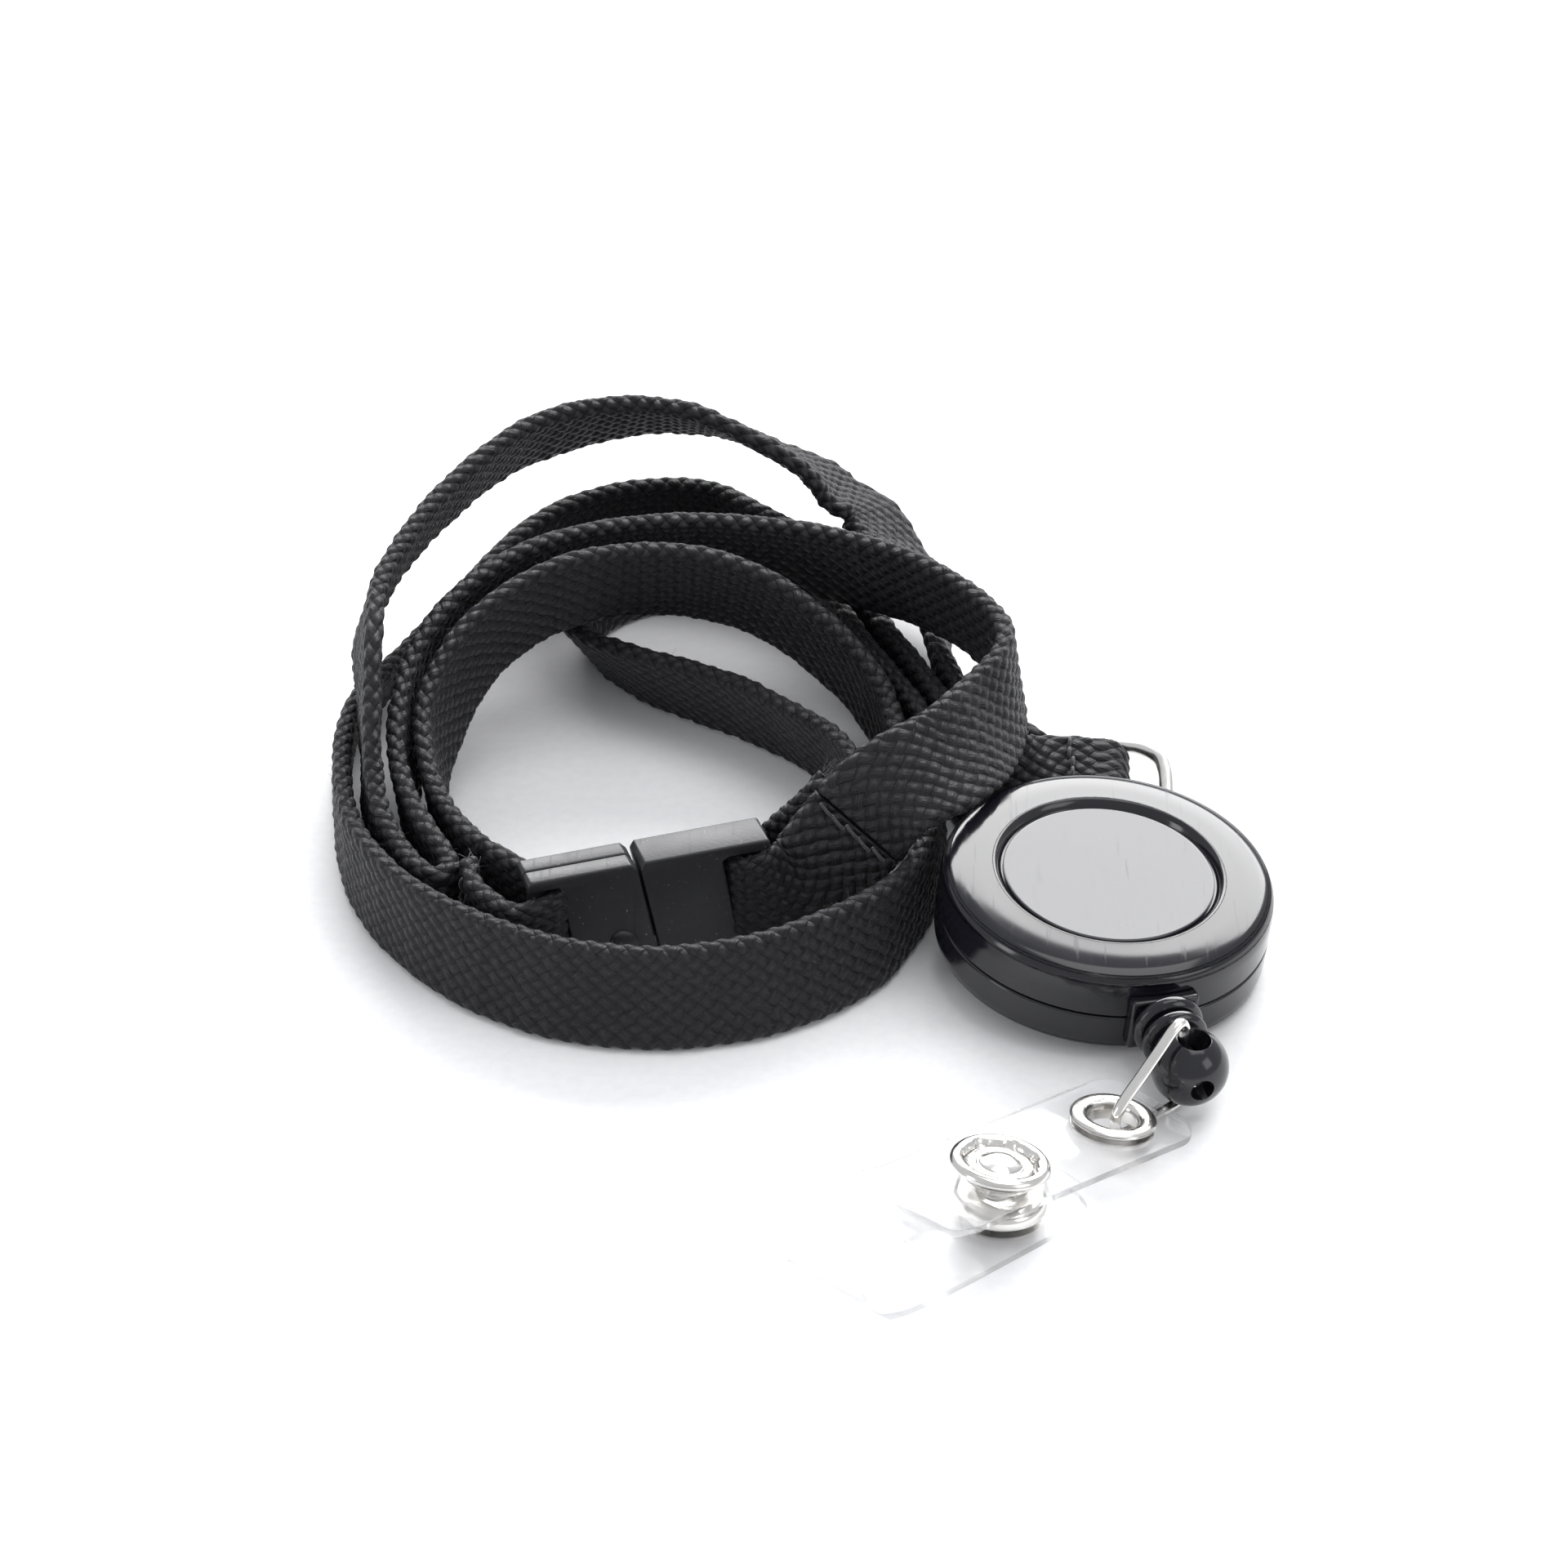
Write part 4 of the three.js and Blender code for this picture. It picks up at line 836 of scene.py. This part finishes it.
# near both ends the width shrinks along a quarter circle of radius CORNER
from_corner = CORNER - np.minimum(np.minimum(lengths, lengths[-1] - lengths), CORNER)
inset = CORNER - np.sqrt(np.clip(CORNER ** 2 - from_corner ** 2, 0, None))
ring = np.stack([rounded_ring(STRAP_HALF - d, STRAP_THICK / 2, STRAP_EDGE) for d in inset])
clear = sweep("clear_strap", STRAP_END + flat_line @ HEADING.T,
              np.tile(HEADING[:, 1], (len(t), 1)), through @ HEADING.T, ring)


def curled(piece):
    """Lifts one corner of the reel end: z grows by 1.1 e^2 w, where e runs from 0 at
    t = 3.4 to 1 at t = 0, and w from 0 at v = -3 to 1 at the far edge."""
    p = points_of(piece)
    t, v = ((p - STRAP_END) @ HEADING)[:, :2].T
    upper = p[:, 2] > 0.9 + 0.15 * t
    e = np.clip((3.4 - t) / 3.4, 0, 1.2)
    w = np.clip((-v - 3.0) / 3.15, 0, 1)
    p[:, 2] += np.where(upper, 1.1 * e ** 2 * w, 0)
    put_points(piece, p)


upper_eye = on_strap(EYELET_T, upper_z(EYELET_T), UPPER_SLOPE)
upper_snap = on_strap(SNAP_T, upper_z(SNAP_T), UPPER_SLOPE)
lower_snap = on_strap(SNAP_T, lower_z(SNAP_T), LOWER_SLOPE)
carve(clear, bore(2.6, -1.0, 1.0, upper_eye), bore(1.8, -1.0, 1.0, upper_snap),
      bore(1.35, -1.0, 1.0, lower_snap), sharp=40)
curled(clear)

# ---- eyelet and snap, each a turned line of (distance from the axis, height, rounding) ----
EYELET_FRONT = [
    (2.25, -0.88, 0.08), (2.52, -0.88, 0.08), (2.52, 0.42, 0.04), (3.85, 0.42, 0.12),
    (4.12, 0.62, 0.16), (3.85, 0.98, 0.3), (3.1, 1.1, 0.35), (2.45, 0.85, 0.3), (2.25, 0.4, 0.2),
]
EYELET_BACK = [
    (2.65, -0.84, 0.1), (3.7, -0.86, 0.16), (4.02, -0.62, 0.12), (3.9, -0.42, 0.06),
    (2.65, -0.42, 0.06),
]
CAP_RING = [
    (3.1, 0.42, 0.04), (4.5, 0.42, 0.08), (4.72, 0.7, 0.16), (4.5, 1.15, 0.24), (4.0, 1.38, 0.25),
    (3.5, 1.22, 0.2), (3.25, 0.85, 0.12),
]
STUD = [
    (0, -2.85, 0.0), (1.0, -2.8, 0.2), (1.52, -2.4, 0.25), (1.4, -1.9, 0.2), (1.3, -1.5, 0.1),
    (1.3, -0.8, 0.05), (3.5, -0.8, 0.1), (3.6, -0.45, 0.1), (1.7, -0.45, 0.05), (1.7, 0.45, 0.03),
    (2.9, 0.45, 0.06), (2.95, 0.75, 0.1), (2.35, 0.85, 0.2), (2.1, 0.72, 0.1), (1.9, 0.9, 0.15),
    (1.2, 1.22, 0.3), (0, 1.32, 0.0),
]
SOCKET = [
    (0, 0.45, 0.0), (4.2, 0.45, 0.12), (4.42, 0.75, 0.18), (4.3, 1.5, 0.3), (3.9, 1.92, 0.25),
    (3.3, 2.1, 0.25), (2.4, 2.1, 0.18), (2.12, 1.8, 0.15), (2.2, 0.8, 0.1), (0, 0.8, 0.0),
]
POST = [
    (0, -0.95, 0.0), (3.3, -0.95, 0.3), (4.12, -0.75, 0.2), (4.2, -0.45, 0.08), (1.2, -0.42, 0.03),
    (1.2, 0.35, 0.06), (0, 0.35, 0.0),
]


def petals(r, a, z):
    """Seven notches in the inner lip: r grows by a wave where r is under 3.7 above the strap."""
    return np.where((r < 3.75) & (z > 0.5), 0.30 * np.clip(np.cos(7 * a), 0, 1) ** 0.6 - 0.08, 0.0)


eye_front = turned("eyelet_rolled_ring", soften(EYELET_FRONT), upper_eye, 96)
eye_back = turned("eyelet_washer", soften(EYELET_BACK), upper_eye, 72)
cap_ring = turned("snap_ring_scalloped", soften(CAP_RING), upper_snap, 140, petals)
stud = turned("snap_stud_domed", soften(STUD), upper_snap, 72)
socket = turned("snap_socket_cup", soften(SOCKET), lower_snap, 96)
post = turned("snap_post_ring", soften(POST), lower_snap, 72)

# ---- clasp ----
HALF_T, TOP, RAIL = 2.0, 12.4, 1.25
SLANT, SEAM_GAP, SHELL_ROUND = 0.19, 0.14, 0.28
BAR_X, BAR_RADIUS = 10.5, 1.1


def leaned(piece):
    """Slants the seam and the slot edges: x moves by SLANT (TOP / 2 - z), fading out between
    7.8 and 9.2 mm from the seam so that the strap bars stay upright."""
    p = points_of(piece) - CLASP[0]
    move = SLANT * (TOP / 2 - p[:, 2]) * np.clip((9.2 - np.abs(p @ CLASP[1])) / 1.4, 0, 1)
    put_points(piece, p + move[:, None] * CLASP[1] + CLASP[0])


def clasp_outline(side, start):
    """Front outline of a half: a block with a chamfered seam edge, and two rails around
    the strap slot."""
    one = [(start + 0.3, 0.05), (11.7, 0.05), (12.0, 0.3), (12.0, RAIL), (8.4, RAIL),
           (8.0, RAIL + 0.4), (8.0, TOP - RAIL - 0.4), (8.4, TOP - RAIL), (12.0, TOP - RAIL),
           (12.0, TOP - 0.3), (11.7, TOP), (start + 0.55, TOP), (start, TOP - 0.75), (start, 0.35)]
    return [(side * x, z) for x, z in one][::side]


def strap_bar(x):
    """The upright bar that a strap loop goes around."""
    return bore(BAR_RADIUS, 0.6, 11.8, (CLASP[0] + x * CLASP[1], CLASP[1], CLASP[3], CLASP[2]))


def socket_shell(name, low, high):
    """One of the two rounded plates of the socket half."""
    return bevel(prism(name, clasp_outline(-1, SEAM_GAP), low, high, CLASP), SHELL_ROUND, 4, 30)


plug = prism("clasp_plug", clasp_outline(1, SEAM_GAP), -HALF_T, HALF_T, CLASP)
bevel(plug, 0.34, 4, 30)
tongue = bevel(prism("tongue", box_outline(-5.6, 2.6, 0.6, 9.8), -0.7, 0.7, CLASP), 0.2, 2)
carve(plug, tongue, strap_bar(BAR_X), add=True)
leaned(plug)
front_plate = socket_shell("clasp_socket", 0.05, HALF_T)
back_plate = socket_shell("rear", -HALF_T, -0.05)
core = prism("core", box_outline(-6.3, 0.5, -0.6, 11.9), -0.6, 0.6, CLASP)
carve(front_plate, back_plate, core, strap_bar(-BAR_X), add=True)
carve(front_plate, prism("slot", box_outline(-6.0, 2.2, 0.5, 10.2), -1.0, 1.0, CLASP))
dome_a = np.linspace(0, math.pi / 2, 10)
dome = np.concatenate([[[0, -0.4], [1.5, -0.4], [1.5, -0.05]],
                       np.stack([1.42 * np.cos(dome_a), 0.6 * np.sin(dome_a)], -1)])
dome[-1, 0] = 0
button_place = (CLASP[0] - 3.1 * CLASP[1] + 3.5 * CLASP[2] + HALF_T * CLASP[3], *CLASP[1:])
carve(front_plate, turned("button", dome, button_place, 48), add=True)
leaned(front_plate)

# ---- finishes ----
weave = Finish("braided_polyester", Roughness=0.6, Sheen_Weight=0.07, Sheen_Roughness=0.35)
weave.put(Sheen_Tint=(0.75, 0.76, 0.82, 1.0), Specular_IOR_Level=0.30)
STRANDS_ACROSS, STRANDS_ALONG = 7.0, 1.1      # noise cells in one yarn


def yarn_nodes(m, across, along, shift):
    """The same yarn height as in the mesh, as Math nodes."""
    index = m.calc("FLOOR", across)
    f = m.calc("SUBTRACT", m.calc("MULTIPLY", m.calc("SUBTRACT", across, index), 2.0), 1.0)
    arch = m.calc("POWER", m.calc("SUBTRACT", 1.0, m.calc("MULTIPLY", f, f)), ARCH_POWER)
    u = m.calc("SUBTRACT", m.calc("SUBTRACT", along, index), shift)
    wave = m.calc("COSINE", m.calc("MULTIPLY", u, math.pi))
    return m.calc("MULTIPLY", arch, m.calc("MULTIPLY_ADD", wave, 0.5, 0.5))


def weave_nodes(m):
    """The braid's height over the piece's map, and fine strands that follow each yarn."""
    uv = m.node("ShaderNodeUVMap", {"uv_map": "weave"}).outputs[0]
    apart = m.node("ShaderNodeSeparateXYZ", Vector=uv)
    s = m.calc("DIVIDE", apart.outputs[0], CELL_S * 2)
    w = m.calc("DIVIDE", apart.outputs[1], CELL_W * 2)
    a, b = m.calc("ADD", s, w), m.calc("SUBTRACT", s, w)
    first, second = yarn_nodes(m, a, b, FIRST_SHIFT), yarn_nodes(m, b, a, SECOND_SHIFT)
    height = m.calc("MAXIMUM", first, second)
    mixed = m.node("ShaderNodeMix", {"data_type": "VECTOR"})
    m.join(m.calc("GREATER_THAN", first, second), mixed.inputs[0])
    for k, across, along in ((4, b, a), (5, a, b)):
        fine = m.node("ShaderNodeCombineXYZ", X=m.calc("MULTIPLY", across, STRANDS_ACROSS),
                      Y=m.calc("MULTIPLY", along, STRANDS_ALONG))
        m.join(fine.outputs[0], mixed.inputs[k])
    strands = m.noise(mixed.outputs[1], 1.0, 2.0, 0.6)
    return height, strands


height, strands = weave_nodes(weave)
patches = weave.noise(weave.place(), 160.0, 2.0)
# painted shade: tone darkens the yarns towards the gaps between them by the braid height
tone = weave.calc("MULTIPLY", weave.spread(strands, 0.3, 0.72, 0.35, 1.35),
                  weave.spread(height, 0.15, 0.9, 0.3, 1.1))
# the strand factor in tone brightens streaks along each yarn: partly the fibres' own tone, partly
# painted sheen; the patches are random tone
tone = weave.calc("MULTIPLY", tone, weave.spread(patches, 0.3, 0.7, 0.8, 1.15))
# PAINTED_GAP_SHADE is the near-black painted shade in the gaps between the yarns; YARN_COLOR is the
# yarn's own colour
PAINTED_GAP_SHADE, YARN_COLOR = (0.0006, 0.0006, 0.0009), (0.0165, 0.0160, 0.0195)
weave.put(Base_Color=weave.blend(weave.calc("MULTIPLY", tone, 0.7), PAINTED_GAP_SHADE, YARN_COLOR))
weave.put(Roughness=weave.spread(strands, 0.3, 0.7, 0.62, 0.40))
relief = weave.bump(height, 0.00034, 1.0)
weave.put(Normal=weave.bump(strands, 0.00014, 1.0, relief))

thread = Finish("sewing_thread", Base_Color=(0.012, 0.012, 0.014), Roughness=0.55, Sheen_Weight=0.4)
twist = thread.noise(thread.place(), 5200.0, 2.0)
thread.put(Base_Color=thread.blend(twist, (0.005, 0.005, 0.006), (0.035, 0.034, 0.040)))
thread.put(Normal=thread.bump(twist, 0.00006))

cord_finish = Finish("pull_cord_braid", Roughness=0.6, Sheen_Weight=0.3)
cord_weave = cord_finish.noise(cord_finish.place(), 3000.0, 2.0)
cord_finish.put(Base_Color=cord_finish.blend(cord_weave, (0.006, 0.006, 0.007),
                                             (0.03, 0.03, 0.033)))
cord_finish.put(Normal=cord_finish.bump(cord_weave, 0.00008))


def plastic(name, low, high, rough, wear=0.0, grain=0.000004, grain_scale=2600.0):
    """A black moulding: slow changes of tone, a fine surface grain, thin scratches in the
    roughness, and paler specks."""
    m = Finish(name, Specular_IOR_Level=0.5)
    at = m.place()
    slow = m.noise(at, 90.0, 3.0)
    fine = m.noise(at, grain_scale, 3.0)
    scratch = m.noise(m.place((2600.0, 160.0, 700.0)), 1.0, 2.0, 0.4)
    dust = m.spread(m.noise(at, 3400.0, 1.0), 0.72, 0.80, 0.0, wear)
    base = m.blend(m.spread(slow, 0.35, 0.65, 0.0, 1.0), low, high)
    m.put(Base_Color=m.blend(dust, base, (0.32, 0.31, 0.33)))
    lined = m.spread(scratch, 0.62, 0.75, 0.0, 0.10)
    m.put(Roughness=m.calc("ADD", m.spread(slow, 0.3, 0.7, rough * 0.85, rough * 1.2), lined))
    m.put(Normal=m.bump(fine, grain))
    return m


gloss = plastic("gloss_black", (0.0065, 0.0065, 0.010), (0.009, 0.009, 0.013), 0.13, 0.02,
                0.0000012, 900.0)
# painted sheen: the disc gets a paler copy of the shell's gloss black, standing in for the sheen on
# its face
disc_gloss_painted_sheen = plastic("gloss_black_disc_painted_sheen", (0.020, 0.020, 0.026), (0.026, 0.026, 0.033), 0.16, 0.03,
                     0.0000012, 700.0)
satin = plastic("satin_black", (0.013, 0.013, 0.016), (0.020, 0.020, 0.024), 0.40, 0.55, 0.00002)
inner = plastic("inner_black", (0.04, 0.04, 0.043), (0.06, 0.06, 0.065), 0.5, 0.1, 0.00001)


def metal(name, color, rough, brushed=0.0):
    """A plated metal: slow changes of tone and roughness, faint ripples, and fine lines."""
    m = Finish(name, Base_Color=color, Metallic=1.0)
    at = m.place()
    slow = m.noise(at, 420.0, 3.0)
    m.put(Base_Color=m.blend(slow, tuple(c * 0.86 for c in color), color))
    lines = m.noise(m.place((4000.0, 4000.0, 300.0)), 1.0, 2.0)
    m.put(Roughness=m.calc("ADD", m.spread(slow, 0.3, 0.7, rough * 0.7, rough * 1.4),
                           m.calc("MULTIPLY", lines, brushed)))
    m.put(Normal=m.bump(m.noise(at, 700.0, 2.0), 0.000012))
    return m


nickel = metal("bright_nickel", (0.80, 0.785, 0.76), 0.19)
steel = metal("spring_strip", (0.52, 0.53, 0.56), 0.25, 0.1)

vinyl = Finish("clear_vinyl", Base_Color=(0.975, 0.98, 0.985), Transmission_Weight=1.0, IOR=1.16,
               Alpha=0.5)
ripple = vinyl.noise(vinyl.place(), 110.0, 2.0)
scuffs = vinyl.noise(vinyl.place((700, 90, 300)), 1.0)
vinyl.put(Roughness=vinyl.spread(scuffs, 0.3, 0.8, 0.02, 0.07))
vinyl.put(Normal=vinyl.bump(ripple, 0.00005))


def dress(finish, slot_name, *objects):
    """Gives the pieces one finish. slot_name, the record's name for the finish, is not used."""
    for o in objects:
        o.data.materials.clear()
        o.data.materials.append(finish.material)


dress(weave, "webbing", web_left, web_right, loop_left, loop_right)
dress(thread, "webbing", seam_right, seam_right_back, seam_left, seam_ring, fray_right, fray_left,
      fuzz_left, fuzz_right)
dress(gloss, "gloss_shell", shell_front, shell_back, exit_plate, fitting)
dress(disc_gloss_painted_sheen, "gloss_shell", disc)
dress(satin, "clasp", plug, front_plate)
dress(nickel, "nickel", link, dee, eye_front, eye_back, cap_ring, stud, socket, post)
dress(cord_finish, "reel_cord", pull_cord)
dress(vinyl, "clear_vinyl", clear)
KEPT = {
    "centre_post": inner, "cord_drum": inner, "wound_cord": cord_finish, "cord_knot": cord_finish,
    "power_spring": steel, "lug_rivet": nickel, "rear_lug": satin,
}
for name, finish in KEPT.items():
    o = NODES[name]
    if not o.material_slots:
        o.data.materials.append(finish.material)
    for material_slot in o.material_slots:
        material_slot.material = finish.material

# ---- bodies ----
STANDS_FOR = [
    ("lanyard", (web_left, "webbing_left", "webbing_ring_fold"), (web_right, "webbing_right"),
     (loop_left, "webbing_left_loop"), (front_plate, "clasp_socket_half")),
    ("clasp_plug", (plug, "clasp_plug_half")),
    ("ring", (dee, "d_ring")),
    ("reel", (shell_front, "front_cover"), (shell_back, "back_cover"), (disc, "front_disc"),
     (exit_plate, "exit_frame")),
    ("fitting", (fitting, "end_fitting")),
    ("link", (link, "wire_link")),
    ("strap", (eye_front, "eyelet_front"), (eye_back, "eyelet_back"), (cap_ring, "snap_cap_ring"),
     (stud, "snap_stud")),
    ("flap", (socket, "snap_socket"), (post, "snap_post")),
    ("lanyard", (seam_right,), (seam_left,), (seam_ring,), (seam_right_back,), (fray_right,),
     (fray_left,), (fuzz_left,), (fuzz_right,)),
]
for body, *pieces in STANDS_FOR:
    for piece, *nodes in pieces:
        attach(piece, body)
        if nodes:
            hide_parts(*nodes)

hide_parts("webbing_right_loop")
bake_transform(loop_right)
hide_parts("reel_cord")
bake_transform(pull_cord)
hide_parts("strap_upper", "strap_fold", "strap_lower")
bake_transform(clear)

# ---- floor and light ----
FLOOR_HALF, FLOOR_Z = 3.0, -0.00002       # metres
floor = build("floor", [(*corner, FLOOR_Z) for corner in
                        box_outline(-FLOOR_HALF, -FLOOR_HALF, FLOOR_HALF, FLOOR_HALF)],
              [[0, 1, 2, 3]], metres=True)
paper = Finish("white_paper", Base_Color=(0.93, 0.93, 0.94), Roughness=0.85,
               Specular_IOR_Level=0.2)
fibre = paper.noise(paper.place(), 900.0, 4.0)
paper.put(Base_Color=paper.blend(paper.spread(fibre, 0.35, 0.65, 0.0, 1.0),
                                 (0.91, 0.91, 0.925), (0.945, 0.945, 0.95)))
paper.put(Normal=paper.bump(fibre, 0.00002, 0.4))
floor.data.materials.append(paper.material)


def softbox(name, at, size, radiance, aim=(0.0, 0.0, 0.01)):
    """A rectangular lamp that faces aim. Its power is pi x area x radiance."""
    lamp = bpy.data.lights.new(name, "AREA")
    lamp.shape = "RECTANGLE"
    lamp.size, lamp.size_y = size
    lamp.energy = math.pi * size[0] * size[1] * radiance
    o = linked(name, lamp)
    o.location = at
    o.rotation_euler = (Vector(at) - Vector(aim)).to_track_quat("Z", "Y").to_euler()


# name, place in metres, size in metres, brightness
softbox("back_softbox", (0.12, 1.0, 0.66), (1.25, 0.62), 9.0)
softbox("top_softbox", (0.25, 0.10, 1.0), (0.7, 0.7), 2.2)
softbox("left_strip", (-0.8, -0.35, 0.35), (0.2, 0.5), 4.0)
softbox("right_fill", (0.9, -0.5, 0.6), (0.5, 0.5), 2.0)
world = bpy.data.worlds.new("studio")
bpy.context.scene.world = world
world.use_nodes = True
sky = world.node_tree.nodes["Background"]
sky.inputs["Color"].default_value = (0.96, 0.97, 1.0, 1.0)
sky.inputs["Strength"].default_value = 0.72
bpy.context.scene.view_settings.view_transform = "Standard"
